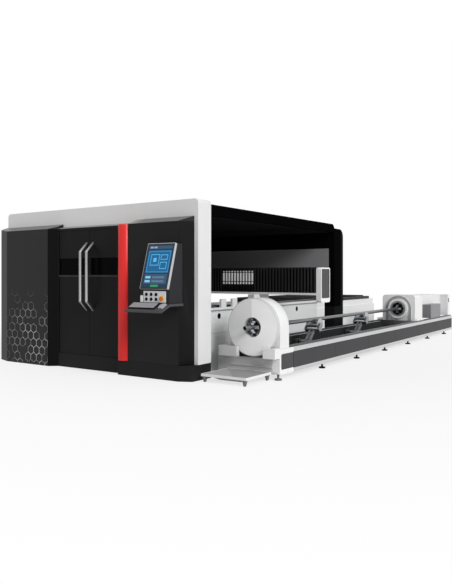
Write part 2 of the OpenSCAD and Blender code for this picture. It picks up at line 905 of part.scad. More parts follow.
module tube_bed_panels() {
  y0 = tube_bed_y0 + end_cap_l;
  run = tube_bed_y1 - tail_w - y0;
  panels = 6;
  color("#525152")
    for (n = [0 : panels - 1])
      block(right_x - panel_depth, right_x, y0 + run * n / panels + leaf_gap / 2,
            y0 + run * (n + 1) / panels - leaf_gap / 2, tube_bed_z + skirt_h, panel_top);
}

// Rounded end of the right beam with a ledge in front of the chuck cover and a recess for a dark field
module tube_end_cap() {
  y1 = tube_bed_y0 + end_cap_l;
  color("#ececec") {
    difference() {
      union() {
        rounded_plate(right_x - tube_beam_w, right_x, tube_bed_y0, y1, tube_bed_z, tube_bed_h, cap_corner);
        block(right_x - tube_beam_w, right_x, tube_bed_y0 + cap_corner, y1, tube_bed_z, tube_bed_h);
        block(right_x - tube_beam_w, right_x, tube_bed_y0, y1, guard_z, tube_bed_h);
      }
      rounded_plate(right_x - seam_w, right_x + over, tube_bed_y0 + cap_corner, y1 + cap_corner,
                    tube_bed_z + skirt_h, panel_top, cap_corner);
    }
    block(right_x - ledge_w, right_x, cover_y0 - guard_gap - guard_d, cover_y0 - guard_gap,
          guard_z, guard_top);
    block(right_x - guard_arm_w, right_x, cover_y0 - guard_gap, tube_bed_y0, guard_z, guard_top);
  }
}

foot_r = 45;
foot_stem_r = 14;
foot_disc_h = 18;
foot_first = 50;
foot_count = 7;
tray_foot_r = 32;
tray_foot_h = 68;
tray_side_gap = 20;
tray_x1 = right_x - tube_beam_w - tray_side_gap;
tray_x0 = tray_x1 - tray_w;
tray_y1 = tube_bed_y0;
tray_y0 = tray_y1 - tray_l;
tray_foot_shares = [0.058, 0.942];

module feet() {
  color("#2a2a2b") {
    for (x = [tube_bed_x0 + tube_beam_w / 2, right_x - tube_beam_w / 2])
      for (n = [0 : foot_count - 1])
        translate([x, tube_bed_y0 + foot_first + n * foot_pitch, 0]) {
          cylinder(h = foot_disc_h, r = foot_r);
          cylinder(h = tube_bed_z, r = foot_stem_r);
        }
    for (sx = tray_foot_shares)
      for (sy = tray_foot_shares)
        translate([tray_x0 + tray_w * sx, tray_y0 + tray_l * sy, 0])
          cylinder(h = tray_foot_h, r1 = tray_foot_r / 2, r2 = tray_foot_r);
  }
}

// Open tray on feet that catches cut tube pieces: a flat rim over a hopper with sloping sides
tray_wall = 6;
tray_rim = 70;
tray_floor_z = 20;
tray_floor_share = 0.62;
tray_slope_share = 0.455;

// A form that widens upwards: its width and length at the top, and the share of them at the bottom
module hopper(w, l, z0, z1, share) {
  translate([(tray_x0 + tray_x1) / 2, (tray_y0 + tray_y1) / 2, z0])
    linear_extrude(height = z1 - z0, scale = 1 / share)
      square([w * share, l * share], center = true);
}

module catch_tray() {
  color("#bfbfbf")
    difference() {
      union() {
        block(tray_x0, tray_x1, tray_y0, tray_y1, tray_foot_h, tray_h);
        hopper(tray_w - 2 * tray_rim, tray_l - 2 * tray_rim, tray_floor_z, tray_foot_h, tray_floor_share);
      }
      hopper(tray_w - 2 * tray_wall, tray_l - 2 * tray_wall, tray_floor_z + tray_wall, tray_h + over,
             tray_slope_share);
    }
}

// Front chuck: an arched housing with a round cover, a rotor and four jaws
module chuck_housing() {
  color("#ebebeb")
    difference() {
      union() {
        rod_y(tube_x, tube_z, chuck_y0, chuck_y1, cover_d / 2);
        block(tube_x - cover_d / 2, tube_x + cover_d / 2, chuck_y0, chuck_y1, tube_bed_h, tube_z);
      }
      block(tube_bed_x0, right_x + over, chuck_y0 - over, chuck_y1 + over, -over, tube_bed_h);
      rod_y(tube_x, tube_z, chuck_y0 - over, chuck_y1 + over, rotor_d / 2 + fit_gap);
    }
}

cover_round = 16;
module chuck_cover() {
  color("#d6d6d6")
    translate([tube_x, chuck_y0, tube_z])
      rotate([90, 0, 0])
        difference() {
          rotate_extrude($fn = 128)
            union() {
              translate([cover_hole_d / 2, 0])
                square([cover_d / 2 - cover_round - cover_hole_d / 2, cover_t]);
              translate([cover_hole_d / 2, 0])
                square([cover_d / 2 - cover_hole_d / 2, cover_t - cover_round]);
              intersection() {
                translate([cover_d / 2 - cover_round, cover_t - cover_round])
                  circle(r = cover_round);
                square([cover_d / 2, cover_t]);
              }
            }
        }
}

jaw_in = stock_d / 2 + run_gap;
jaw_travel = 40;
jaw_back = 33;
rotor_end = 2;
rotor_bore_r = 70;

// A rotor with four radial slots in its face, its face at y0
module rotor(y0, y1) {
  difference() {
    rod_y(tube_x, tube_z, y0, y1, rotor_d / 2);
    rod_y(tube_x, tube_z, y0 - over, y1 + over, rotor_bore_r);
    for (turn = [0 : 90 : 270])
      translate([tube_x, y0 - over, tube_z])
        rotate([0, turn, 0])
          translate([-jaw_w / 2 - run_gap, 0, 0])
            cube([jaw_w + 2 * run_gap, jaw_back + over, jaw_in + jaw_l + jaw_travel + run_gap]);
  }
}

// One stepped jaw, turned about the tube axis, its back in the rotor's slot
module jaw(y0, turn) {
  translate([tube_x, y0, tube_z])
    rotate([0, turn, 0])
      translate([-jaw_w / 2, -jaw_d + jaw_back, jaw_in]) {
        cube([jaw_w, jaw_d - run_gap, jaw_l * jaw_tip_share]);
        translate([0, jaw_d * jaw_step_share, 0])
          cube([jaw_w, jaw_d * (1 - jaw_step_share) - run_gap, jaw_l]);
      }
}
jaw_tip_share = 0.55;
jaw_step_share = 0.35;
front_rotor_y = chuck_y0 + rotor_end;

module front_chuck() {
  color("#55585c")
    rotor(front_rotor_y, chuck_y1 - rotor_end);
}

module front_jaw(turn) {
  color("#c8cacc")
    jaw(front_rotor_y, turn);
}
module front_jaw_1() { front_jaw(0); }
module front_jaw_2() { front_jaw(90); }
module front_jaw_3() { front_jaw(180); }
module front_jaw_4() { front_jaw(270); }

// Rear chuck on its carriage
rear_corner = 60;
rear_plate_in = 30;
rear_plate_t = 36;
rear_base_z = lathe_rail_z + run_gap;
nose_l = 60;
nose_r = 188;
trim_r = 248;
trim_w = 40;
trim_t = 16;
rear_rotor_y = rear_y0 - nose_l + rotor_end;

// The half-round trim on the housing's face, standing on straight legs
module arch_trim(r, y0, y1, z0) {
  rod_y(tube_x, tube_z, y0, y1, r);
  block(tube_x - r, tube_x + r, y0, y1, z0, tube_z);
}

module rear_housing() {
  x0 = right_x - tube_from_right - rear_chuck_w / 2;
  color("#e4e4e4")
    difference() {
      union() {
        block(x0, x0 + rear_chuck_w, rear_y0, rear_y1, rear_base_z, rear_chuck_top - rear_corner);
        block(x0 + rear_corner, x0 + rear_chuck_w - rear_corner, rear_y0, rear_y1,
              rear_base_z, rear_chuck_top);
        for (x = [x0 + rear_corner, x0 + rear_chuck_w - rear_corner])
          rod_y(x, rear_chuck_top - rear_corner, rear_y0, rear_y1, rear_corner);
        block(tube_bed_x0 + rail_inset / 2, right_x - rail_inset / 2, rear_y0 + rear_plate_in, rear_y1,
              rear_base_z, rear_base_z + rear_plate_t);
        difference() {
          arch_trim(trim_r, rear_y0 - trim_t, rear_y0, rear_base_z);
          arch_trim(trim_r - trim_w, rear_y0 - trim_t - over, rear_y0 + over, rear_base_z - over);
          block(tube_x - trim_r, tube_x + trim_r, rear_y0 - trim_t - over, rear_y0 + over,
                tube_z - trim_r - over, rear_base_z);
        }
        rod_y(tube_x, tube_z, rear_y0 - nose_l, rear_y0, nose_r);
      }
      rod_y(tube_x, tube_z, rear_y0 - nose_l - over, rear_y1 + over, rotor_d / 2 + fit_gap);
    }
}

rear_box_left = 294;
rear_box_right = 182;
rear_box_drop = 40;
motor_from = 475;
motor_l = 700;
motor_h = 272;
motor_in = 3;
motor_foot = 4;
post_end_l = 150;
post_slot_w = 60;
post_slot_h = 90;
post_slot_z_share = 0.62;
module rear_box() {
  x0 = tube_x - rear_box_left;
  x1 = tube_x + rear_box_right;
  y1 = rear_y1 + rear_box_l;
  top = rear_chuck_top - rear_box_drop;
  slot_z = rear_base_z + (top - rear_base_z) * post_slot_z_share;
  color("#ececec") {
    block(x0, x1, rear_y1, y1 - post_end_l, rear_base_z, top);
    difference() {
      block(x0, right_x - motor_in, y1 - post_end_l, y1, rear_base_z, top);
      block(right_x - motor_in - post_slot_w / 2, right_x, y1 - post_end_l / 2 - post_slot_w / 2,
            y1 - post_end_l / 2 + post_slot_w / 2, slot_z, slot_z + post_slot_h);
    }
    block(x1, right_x - motor_in, rear_y1 + motor_from, rear_y1 + motor_from + motor_l,
          rear_base_z + motor_foot, rear_base_z + motor_foot + motor_h);
  }
}

module rear_chuck() {
  color("#55585c")
    rotor(rear_rotor_y, rear_y1 - rotor_end);
}
module rear_jaw(turn) {
  color("#c8cacc")
    jaw(rear_rotor_y, turn);
}
module rear_jaw_1() { rear_jaw(0); }
module rear_jaw_2() { rear_jaw(90); }
module rear_jaw_3() { rear_jaw(180); }
module rear_jaw_4() { rear_jaw(270); }

stock_out = 170;
module stock_tube() {
  color("#b9bbbd")
    difference() {
      rod_y(tube_x, tube_z, cover_y0 - stock_out, rear_y1 - rotor_end, stock_d / 2);
      rod_y(tube_x, tube_z, cover_y0 - stock_out - over, rear_y1, stock_d / 2 - stock_wall);
    }
}

// Tilting support: twin bars on a pivot tube carry a cradle whose two ears hold a flanged roller
arm_t = 14;
arm_w = 60;
arm_x = 104;
bar_x = 14;
bar_t = 26;
cradle_t = 16;
cradle_gap = 8;
flange_r = 92;
flange_x = 78;
flange_t = 12;
axle_r = 12;
pivot_tube_r = 26;

module support_arm(y) {
  rise = roller_z - pivot_z;
  reach = sqrt(pivot_back * pivot_back + rise * rise);
  cradle_y = reach - flange_r - cradle_gap - cradle_t;
  color("#c6c8c9")
    difference() {
      union() {
        translate([tube_x, y - pivot_back, pivot_z])
          rotate([atan2(rise, pivot_back), 0, 0]) {
            for (x = [-bar_x - bar_t, bar_x])
              translate([x, 0, -arm_w / 3])
                cube([bar_t, cradle_y, arm_w * 2 / 3]);
            translate([-arm_x - arm_t, cradle_y, -arm_w / 2])
              cube([2 * (arm_x + arm_t), cradle_t, arm_w]);
            for (x = [-arm_x - arm_t, arm_x]) {
              translate([x, cradle_y, -arm_w / 2])
                cube([arm_t, reach - cradle_y, arm_w]);
              translate([x, reach, 0])
                rotate([0, 90, 0])
                  cylinder(h = arm_t, r = arm_w / 2);
            }
          }
        rod_x(y - pivot_back, pivot_z, tube_x - arm_x - arm_t, tube_x + arm_x + arm_t, pivot_tube_r);
      }
      rod_x(y - pivot_back, pivot_z, tube_x - lug_x, tube_x + lug_x, pivot_r + fit_gap);
      rod_x(y, roller_z, tube_x - lug_x, tube_x + lug_x, axle_r + fit_gap);
    }
}

module support_roller(y) {
  color("#dedfdf") {
    rod_x(y, roller_z, tube_x - arm_x - arm_t, tube_x + arm_x + arm_t, axle_r);
    rod_x(y, roller_z, tube_x - flange_x, tube_x + flange_x, roller_r);
    for (x = [tube_x - flange_x - flange_t, tube_x + flange_x])
      rod_x(y, roller_z, x, x + flange_t, flange_r);
  }
}

module support_arm_1() { support_arm(support_y[0]); }
module support_arm_2() { support_arm(support_y[1]); }
module support_roller_1() { support_roller(support_y[0]); }
module support_roller_2() { support_roller(support_y[1]); }

// A sliding door leaf with a window opening
module door_leaf(x0, x1) {
  color("#222222")
    difference() {
      union() {
        block(x0, x1, door_y, door_y + door_t, leaf_z0, leaf_z1);
        block(x0, x1, door_y - ledge_out, door_y, window_z - ledge_h, window_z);
      }
      block(x0 + window_margin, x1 - window_margin, door_y - over, door_y + door_t + over,
            window_z, window_z + window_h);
    }
}
ledge_h = 26;
ledge_out = 5;
module door_window(x0, x1) {
  color("#0d0e10")
    block(x0 + window_margin, x1 - window_margin, door_y + door_t / 4, door_y + door_t * 3 / 4,
          window_z, window_z + window_h);
}

// A tube handle: an upright grip whose two ends slant back to the door and are cut flush with it
bead = 0.6;
module door_handle(x) {
  slant = handle_reach * sqrt(2) + handle_d;
  middle = handle_z + handle_l / 2;
  color("#8b8b8b")
    difference() {
      union() {
        translate([x, door_y - handle_reach, handle_z + handle_reach])
          cylinder(h = handle_l - 2 * handle_reach, r = handle_d / 2);
        for (end = [-1, 1])
          translate([x, door_y - handle_reach, middle + end * (handle_l / 2 - handle_reach)]) {
            sphere(r = handle_d / 2 + bead);
            rotate([end > 0 ? -45 : -135, 0, 0])
              cylinder(h = slant, r = handle_d / 2);
          }
      }
      block(x - handle_d, x + handle_d, door_y, door_y + handle_reach, handle_z - handle_reach,
            handle_z + handle_l + handle_reach);
    }
}

module door_left() { door_leaf(door_x0, seam_x - leaf_gap / 2); }
module window_left() { door_window(door_x0, seam_x - leaf_gap / 2); }
module handle_left() { door_handle(seam_x - handle_off); }
module door_right() { door_leaf(seam_x + leaf_gap / 2, door_x1); }
module window_right() { door_window(seam_x + leaf_gap / 2, door_x1); }
module handle_right() { door_handle(seam_x + handle_off); }

// Gantry beam over the bed, its lower flange under the bellows
module gantry_beam() {
  color("#e2e2e2") {
    block(beam_x0, beam_x1, beam_front, beam_back, beam_z, beam_top - beam_low);
    block(beam_x0, beam_x1, bellows_y, beam_front, beam_z, bellows_z - run_gap);
  }
}

module beam_end_cap() {
  x1 = beam_x1 + cap_t;
  color("#f0f0f0")
    difference() {
      rounded_plate(beam_x1, x1, bellows_y, beam_back, beam_z - cap_drop, beam_top, cap_corner);
      rounded_plate(x1 - seam_w, x1 + over, bellows_y + cap_margin, beam_back - cap_margin,
                    beam_z - cap_drop + 3 * cap_margin, beam_top - cap_margin, cap_corner - cap_margin / 2);
    }
}
cap_margin = 20;
beam_low = 24;
cap_drop = 100;

// Zigzag bellows sheet, seen from above
function zigzag(x0, x1, offset) = let (folds = max(2, 2 * floor((x1 - x0) / pleat_pitch)))
  [for (n = [0 : folds])
    [x0 + (x1 - x0) * n / folds, (n % 2 == 0 ? bellows_d - 2 * pleat_t : pleat_t) + offset]];
function reversed(points) = [for (n = [len(points) - 1 : -1 : 0]) points[n]];

module bellows(x0, x1) {
  translate([0, bellows_y, bellows_z])
    linear_extrude(height = beam_top - bellows_z)
      polygon(concat(zigzag(x0, x1, -pleat_t / 2), reversed(zigzag(x0, x1, pleat_t))));
}

module beam_bellows() {
  color("#101010") {
    bellows(carriage_x1, beam_x1);
    bellows(beam_x0, carriage_x);
  }
}

// Shoes on the rails, with the drive housings
module gantry_shoes() {
  color("#9b9da0")
    for (x = [bed_x0, bed_x1 - shoe_w]) {
      difference() {
        block(x, x + shoe_w, beam_back - shoe_l, beam_back, bed_h + run_gap, beam_z);
        block(x == bed_x0 ? x + rail_inset - run_gap : bed_x1 - rail_inset - rail_w - run_gap,
              x == bed_x0 ? x + rail_inset + rail_w + run_gap : bed_x1 - rail_inset + run_gap,
              beam_back - shoe_l - over, beam_back + over, bed_h - over, bed_h + rail_h + run_gap);
      }
    }
}

// Carriage on the beam with a bracket that reaches forward
carriage_plate = 30;
bracket_w = 170;
bracket_z = 1120;
carriage_top = 1420;
module head_carriage() {
  color("#dadada") {
    block(carriage_x + run_gap, carriage_x1 - run_gap, bellows_y - carriage_plate, beam_front - run_gap,
          bellows_z + run_gap, carriage_top);
    block(head_x - bracket_w / 2, head_x + head_w / 2, head_y + head_w / 2 + z_slide_t + run_gap,
          bellows_y - carriage_plate, bracket_z, carriage_top);
  }
}

z_slide_t = 40;
z_slide_h = 420;
z_slide_z = 1060;
module z_slide() {
  color("#3a3c3f")
    block(head_x - head_w / 2, head_x + head_w / 2, head_y + head_w / 2, head_y + head_w / 2 + z_slide_t,
          z_slide_z, z_slide_z + z_slide_h);
}

head_body_h = 330;
collar_h = 60;
nozzle_h = 40;
nozzle_tip_r = 4;
nozzle_base_r = 16;
module cutting_head() {
  color("#b7babd") {
    block(head_x - head_w / 2, head_x + head_w / 2, head_y - head_w / 2, head_y + head_w / 2,
          nozzle_z + nozzle_h + collar_h, nozzle_z + nozzle_h + collar_h + head_body_h);
    translate([head_x, head_y, nozzle_z + nozzle_h])
      cylinder(h = collar_h, r = head_w * collar_share);
    translate([head_x, head_y, nozzle_z])
      cylinder(h = nozzle_h, r1 = nozzle_tip_r, r2 = nozzle_base_r);
  }
}
collar_share = 0.36;

front_frame();
front_caps();
left_cabinet();
right_cabinet();
red_pillar();
front_arch();
roof_shell();
left_wall();
rear_frame();
hmi_housing();
monitor_bezel();
monitor_screen();
button_panel();
push_buttons();
stop_button();
keyboard_shelf();
keyboard();
mouse();
bed_frame();
linear_rails();
exchange_frame();
tube_bed();
tube_bed_panels();
tube_end_cap();
feet();
chuck_housing();
chuck_cover();
catch_tray();
door_left();
window_left();
handle_left();
door_right();
window_right();
handle_right();
gantry_beam();
beam_end_cap();
beam_bellows();
gantry_shoes();
head_carriage();
z_slide();
cutting_head();
pallet_lower();
pallet_upper();
front_chuck();
front_jaw_1();
front_jaw_2();
front_jaw_3();
front_jaw_4();
rear_housing();
rear_box();
rear_chuck();
rear_jaw_1();
rear_jaw_2();
rear_jaw_3();
rear_jaw_4();
stock_tube();
support_arm_1();
support_arm_2();
support_roller_1();
support_roller_2();
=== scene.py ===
# %% Load the machine
import math

import bmesh
import bpy
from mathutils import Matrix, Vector


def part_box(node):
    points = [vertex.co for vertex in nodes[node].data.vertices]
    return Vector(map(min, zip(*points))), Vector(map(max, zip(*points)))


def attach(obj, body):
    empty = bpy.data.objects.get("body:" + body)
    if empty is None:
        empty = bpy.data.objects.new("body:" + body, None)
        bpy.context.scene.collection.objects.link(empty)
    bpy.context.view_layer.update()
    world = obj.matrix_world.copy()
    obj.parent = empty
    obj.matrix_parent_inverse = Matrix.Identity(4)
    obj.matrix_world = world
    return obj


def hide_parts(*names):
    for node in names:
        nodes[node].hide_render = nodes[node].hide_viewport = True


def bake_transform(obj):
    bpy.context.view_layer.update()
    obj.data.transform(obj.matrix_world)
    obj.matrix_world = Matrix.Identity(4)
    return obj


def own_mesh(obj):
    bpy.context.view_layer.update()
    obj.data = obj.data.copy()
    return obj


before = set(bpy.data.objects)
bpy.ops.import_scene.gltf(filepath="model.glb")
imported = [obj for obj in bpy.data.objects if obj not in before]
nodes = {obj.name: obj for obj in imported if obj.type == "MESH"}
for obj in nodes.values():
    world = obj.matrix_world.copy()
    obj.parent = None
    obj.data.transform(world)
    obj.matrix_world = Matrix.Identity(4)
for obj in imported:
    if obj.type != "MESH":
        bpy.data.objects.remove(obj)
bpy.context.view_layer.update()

# %% [markdown]
# The camera comes first, because every later choice is judged through it. The photograph was taken level,
# from the height of a standing person's chest, about 34 degrees to the right of the machine's front.
# A level camera keeps upright edges upright. The horizon lies a little above the picture's middle, so the
# lens is shifted and not tilted.

# %% Camera
camera_data = bpy.data.cameras.new("camera")
camera_data.lens = 38.68
camera_data.sensor_width = 36
camera_data.shift_y = -0.0274
camera_data.clip_end = 200
camera = bpy.data.objects.new("camera", camera_data)
camera.location = (5.945, -10.005, 1.267)
camera.rotation_euler = (math.radians(90), 0, math.radians(34.1))
bpy.context.scene.collection.objects.link(camera)
bpy.context.scene.camera = camera
print("camera at", tuple(round(x, 3) for x in camera.location))

# %% [markdown]
# Paint on machine panels is powder coat: sprayed as dry powder and baked, which leaves a fine grain that
# breaks up reflections, and a colour that drifts very slightly from panel to panel. Several finishes share
# these effects, so each one is a shader node group with named inputs. A group gives only what changes over the
# surface: a colour, a roughness and a height for the bump.

# %% Helpers for node groups
def srgb(code):
    """A colour written as in a paint chart, made linear for the shader."""
    parts = [int(code[i:i + 2], 16) / 255 for i in (0, 2, 4)]
    return tuple(c / 12.92 if c <= 0.04045 else ((c + 0.055) / 1.055) ** 2.4 for c in parts) + (1.0,)


def new_group(name, inputs, outputs):
    """A shader group with its named sockets: kind, name and starting value."""
    tree = bpy.data.node_groups.new(name, "ShaderNodeTree")
    for kind, label, value in inputs:
        socket = tree.interface.new_socket(label, in_out="INPUT", socket_type=kind)
        socket.default_value = value
    for kind, label in outputs:
        tree.interface.new_socket(label, in_out="OUTPUT", socket_type=kind)
    return tree, tree.nodes.new("NodeGroupInput"), tree.nodes.new("NodeGroupOutput")


def add(tree, kind, links=(), **settings):
    """A node with its settings, its values by socket name or number, and its links."""
    node = tree.nodes.new(kind)
    for key, value in settings.items():
        setattr(node, key, value)
    for socket, source in links:
        if isinstance(source, bpy.types.NodeSocket):
            tree.links.new(source, node.inputs[socket])
        else:
            node.inputs[socket].default_value = source
    return node


def maths(tree, operation, a, b=0.0, clamp=False):
    return add(tree, "ShaderNodeMath", [(0, a), (1, b)], operation=operation, use_clamp=clamp).outputs[0]


def mixed(tree, amount, a, b, blend="MIX"):
    """Colour b over colour a by an amount."""
    node = add(tree, "ShaderNodeMix", data_type="RGBA", blend_type=blend)
    for socket, source in ((0, amount), (6, a), (7, b)):
        if isinstance(source, bpy.types.NodeSocket):
            tree.links.new(source, node.inputs[socket])
        else:
            node.inputs[socket].default_value = source
    return node.outputs[2]


def noise(tree, where, scale, detail=2.0, roughness=0.5):
    return add(tree, "ShaderNodeTexNoise", [("Vector", where), ("Scale", scale), ("Detail", detail),
                                            ("Roughness", roughness)]).outputs["Fac"]


COLOUR, VALUE, VECTOR = "NodeSocketColor", "NodeSocketFloat", "NodeSocketVector"
print("helpers ready")

# %% Powder coat group
coat, entry, leave = new_group("powder coat", [
    (COLOUR, "Colour", (1, 1, 1, 1)), (VALUE, "Drift", 0.05), (VALUE, "Grain", 900.0),
    (VALUE, "Dust", 0.0), (VALUE, "Roughness", 0.4)],
    [(COLOUR, "Colour"), (VALUE, "Roughness"), (VALUE, "Height")])
place = add(coat, "ShaderNodeTexCoord").outputs["Object"]
fine = noise(coat, place, entry.outputs["Grain"], 3)
cloudy = noise(coat, place, 1.7, 4)
speck = noise(coat, place, 55, 6, 0.7)
shade = maths(coat, "MULTIPLY_ADD", maths(coat, "SUBTRACT", cloudy, 0.5), entry.outputs["Drift"])
shade.node.inputs[2].default_value = 1.0
tint = mixed(coat, 1.0, entry.outputs["Colour"], (1, 1, 1, 1), "MULTIPLY")
coat.links.new(add(coat, "ShaderNodeCombineColor", [(0, shade), (1, shade), (2, shade)]).outputs[0],
               tint.node.inputs[7])
height_z = add(coat, "ShaderNodeSeparateXYZ", [(0, place)]).outputs[2]
low = add(coat, "ShaderNodeMapRange", [(0, height_z), (1, 0.0), (2, 0.7), (3, 1.0), (4, 0.0)]).outputs[0]
dusty = maths(coat, "MULTIPLY", maths(coat, "MULTIPLY", low, speck), entry.outputs["Dust"], True)
coat.links.new(mixed(coat, dusty, tint, srgb("8d8a84")), leave.inputs["Colour"])
rough = maths(coat, "MULTIPLY_ADD", maths(coat, "SUBTRACT", speck, 0.5), 0.16)
coat.links.new(entry.outputs["Roughness"], rough.node.inputs[2])
coat.links.new(maths(coat, "ADD", rough, maths(coat, "MULTIPLY", dusty, 0.3), True), leave.inputs["Roughness"])
coat.links.new(fine, leave.inputs["Height"])
print("group:", coat.name, len(coat.nodes), "nodes")

# %% [markdown]
# Ground and rolled steel shows fine lines along the way it was worked. A noise that is stretched along one axis
# gives them: it is stretched by scaling the coordinates, so the same group serves rods, rails and slats, each
# with its own direction. Cut slats also carry brown scale and spatter, which is a second, coarser noise.

# %% Worked steel group
steel, entry, leave = new_group("worked steel", [
    (COLOUR, "Colour", (0.6, 0.6, 0.6, 1)), (VECTOR, "Stretch", (40.0, 900.0, 900.0)),
    (VALUE, "Scale marks", 0.0), (COLOUR, "Mark colour", srgb("4a3a2e")), (VALUE, "Roughness", 0.3)],
    [(COLOUR, "Colour"), (VALUE, "Roughness"), (VALUE, "Height")])
place = add(steel, "ShaderNodeTexCoord").outputs["Object"]
along = add(steel, "ShaderNodeVectorMath", [(0, place), (1, entry.outputs["Stretch"])],
            operation="MULTIPLY").outputs[0]
lines = noise(steel, along, 1.0, 3, 0.6)
blotch = noise(steel, place, 24, 7, 0.68)
ramp = add(steel, "ShaderNodeMapRange", [(0, blotch), (1, 0.42), (2, 0.66), (3, 0.0), (4, 1.0)]).outputs[0]
marks = maths(steel, "MULTIPLY", ramp, entry.outputs["Scale marks"], True)
lit = maths(steel, "MULTIPLY_ADD", lines, 0.3)
lit.node.inputs[2].default_value = 0.85
bright = mixed(steel, 1.0, entry.outputs["Colour"], (1, 1, 1, 1), "MULTIPLY")
steel.links.new(add(steel, "ShaderNodeCombineColor", [(0, lit), (1, lit), (2, lit)]).outputs[0],
                bright.node.inputs[7])
steel.links.new(mixed(steel, marks, bright, entry.outputs["Mark colour"]), leave.inputs["Colour"])
rough = maths(steel, "MULTIPLY_ADD", lines, 0.18)
steel.links.new(entry.outputs["Roughness"], rough.node.inputs[2])
steel.links.new(maths(steel, "ADD", rough, maths(steel, "MULTIPLY", marks, 0.35), True), leave.inputs["Roughness"])
steel.links.new(maths(steel, "ADD", lines, marks), leave.inputs["Height"])
print("group:", steel.name, len(steel.nodes), "nodes")

# %% [markdown]
# Some panels are two-coloured sheet: a white cover with a dark field that has round corners. The field is
# paint and film, not a shape, so a mask draws it: the distance to a rounded rectangle, worked out from the
# Object coordinates. The same mask draws the wall's grey band, and painted shade and painted highlights on
# other pieces.

# %% Rounded field group
field, entry, leave = new_group("rounded field", [
    (VECTOR, "Centre", (0, 0, 0)), (VECTOR, "Half size", (1, 1, 1)), (VALUE, "Corner", 0.02)],
    [(VALUE, "Mask")])
place = add(field, "ShaderNodeTexCoord").outputs["Object"]
away = add(field, "ShaderNodeVectorMath", [(0, place), (1, entry.outputs["Centre"])], operation="SUBTRACT").outputs[0]
size = add(field, "ShaderNodeVectorMath", [(0, away)], operation="ABSOLUTE").outputs[0]
beyond = add(field, "ShaderNodeVectorMath", [(0, size), (1, entry.outputs["Half size"])],
             operation="SUBTRACT").outputs[0]
corner = add(field, "ShaderNodeCombineXYZ", [(0, entry.outputs["Corner"]), (1, entry.outputs["Corner"]),
                                             (2, entry.outputs["Corner"])]).outputs[0]
inset = add(field, "ShaderNodeVectorMath", [(0, beyond), (1, corner)], operation="ADD").outputs[0]
outer = add(field, "ShaderNodeVectorMath", [(0, inset), (1, (0, 0, 0))], operation="MAXIMUM").outputs[0]
distance = add(field, "ShaderNodeVectorMath", [(0, outer)], operation="LENGTH").outputs["Value"]
field.links.new(maths(field, "LESS_THAN", distance, entry.outputs["Corner"]), leave.inputs["Mask"])
print("group:", field.name, len(field.nodes), "nodes")

# %% [markdown]
# A material places a group, gives it this finish's own values, and feeds the shader. Values that are the same
# all over, such as the metal's amount or the clear coat, are set on the shader itself.

# %% Material makers
def group_node(tree, group, values):
    node = tree.nodes.new("ShaderNodeGroup")
    node.node_tree = group
    for label, value in values.items():
        node.inputs[label].default_value = value
    return node


def new_material(name, **shader):
    """A material with its shader's own constant values."""
    material = bpy.data.materials.new(name)
    material.use_nodes = True
    principled = material.node_tree.nodes["Principled BSDF"]
    for label, value in shader.items():
        principled.inputs[label.replace("_", " ")].default_value = value
    return material, material.node_tree, principled


def finish_with(tree, principled, node, bump, distance):
    """Colour, roughness and bump from a group's outputs."""
    tree.links.new(node.outputs["Colour"], principled.inputs["Base Color"])
    tree.links.new(node.outputs["Roughness"], principled.inputs["Roughness"])
    bumped = add(tree, "ShaderNodeBump", [("Height", node.outputs["Height"]), ("Strength", bump),
                                          ("Distance", distance)])
    tree.links.new(bumped.outputs[0], principled.inputs["Normal"])


def paint(name, code, roughness=0.4, drift=0.06, dust=0.0, grain=700.0, bump=0.12, **shader):
    material, tree, principled = new_material(name, **shader)
    node = group_node(tree, coat, {"Colour": srgb(code), "Drift": drift, "Grain": grain, "Dust": dust,
                                   "Roughness": roughness})
    finish_with(tree, principled, node, bump, 0.0006)
    return material


def metal(name, code, stretch, roughness=0.3, marks=0.0, mark="4a3a2e", bump=0.15, **shader):
    material, tree, principled = new_material(name, Metallic=1.0, **shader)
    node = group_node(tree, steel, {"Colour": srgb(code), "Stretch": stretch, "Scale marks": marks,
                                    "Mark colour": srgb(mark), "Roughness": roughness})
    finish_with(tree, principled, node, bump, 0.0004)
    return material


def field_colour(material, code, centre, half, corner):
    """A second colour on a painted material, inside a rounded field. Some are paint, others painted shade and light."""
    tree = material.node_tree
    principled = tree.nodes["Principled BSDF"]
    under = principled.inputs["Base Color"].links[0].from_socket
    mask = group_node(tree, field, {"Centre": centre, "Half size": half, "Corner": corner}).outputs["Mask"]
    tree.links.new(mixed(tree, mask, under, srgb(code)), principled.inputs["Base Color"])
    return material


def over_with(material, mask, code):
    """Another colour where a mask of the material's own nodes is 1."""
    tree = material.node_tree
    principled = tree.nodes["Principled BSDF"]
    under = principled.inputs["Base Color"].links[0].from_socket
    tree.links.new(mixed(tree, mask, under, srgb(code)), principled.inputs["Base Color"])


def object_axes(tree, output="Object"):
    """The three Object coordinates, or the three parts of the normal."""
    return add(tree, "ShaderNodeSeparateXYZ", [(0, add(tree, "ShaderNodeTexCoord").outputs[output])]).outputs


print("makers ready")
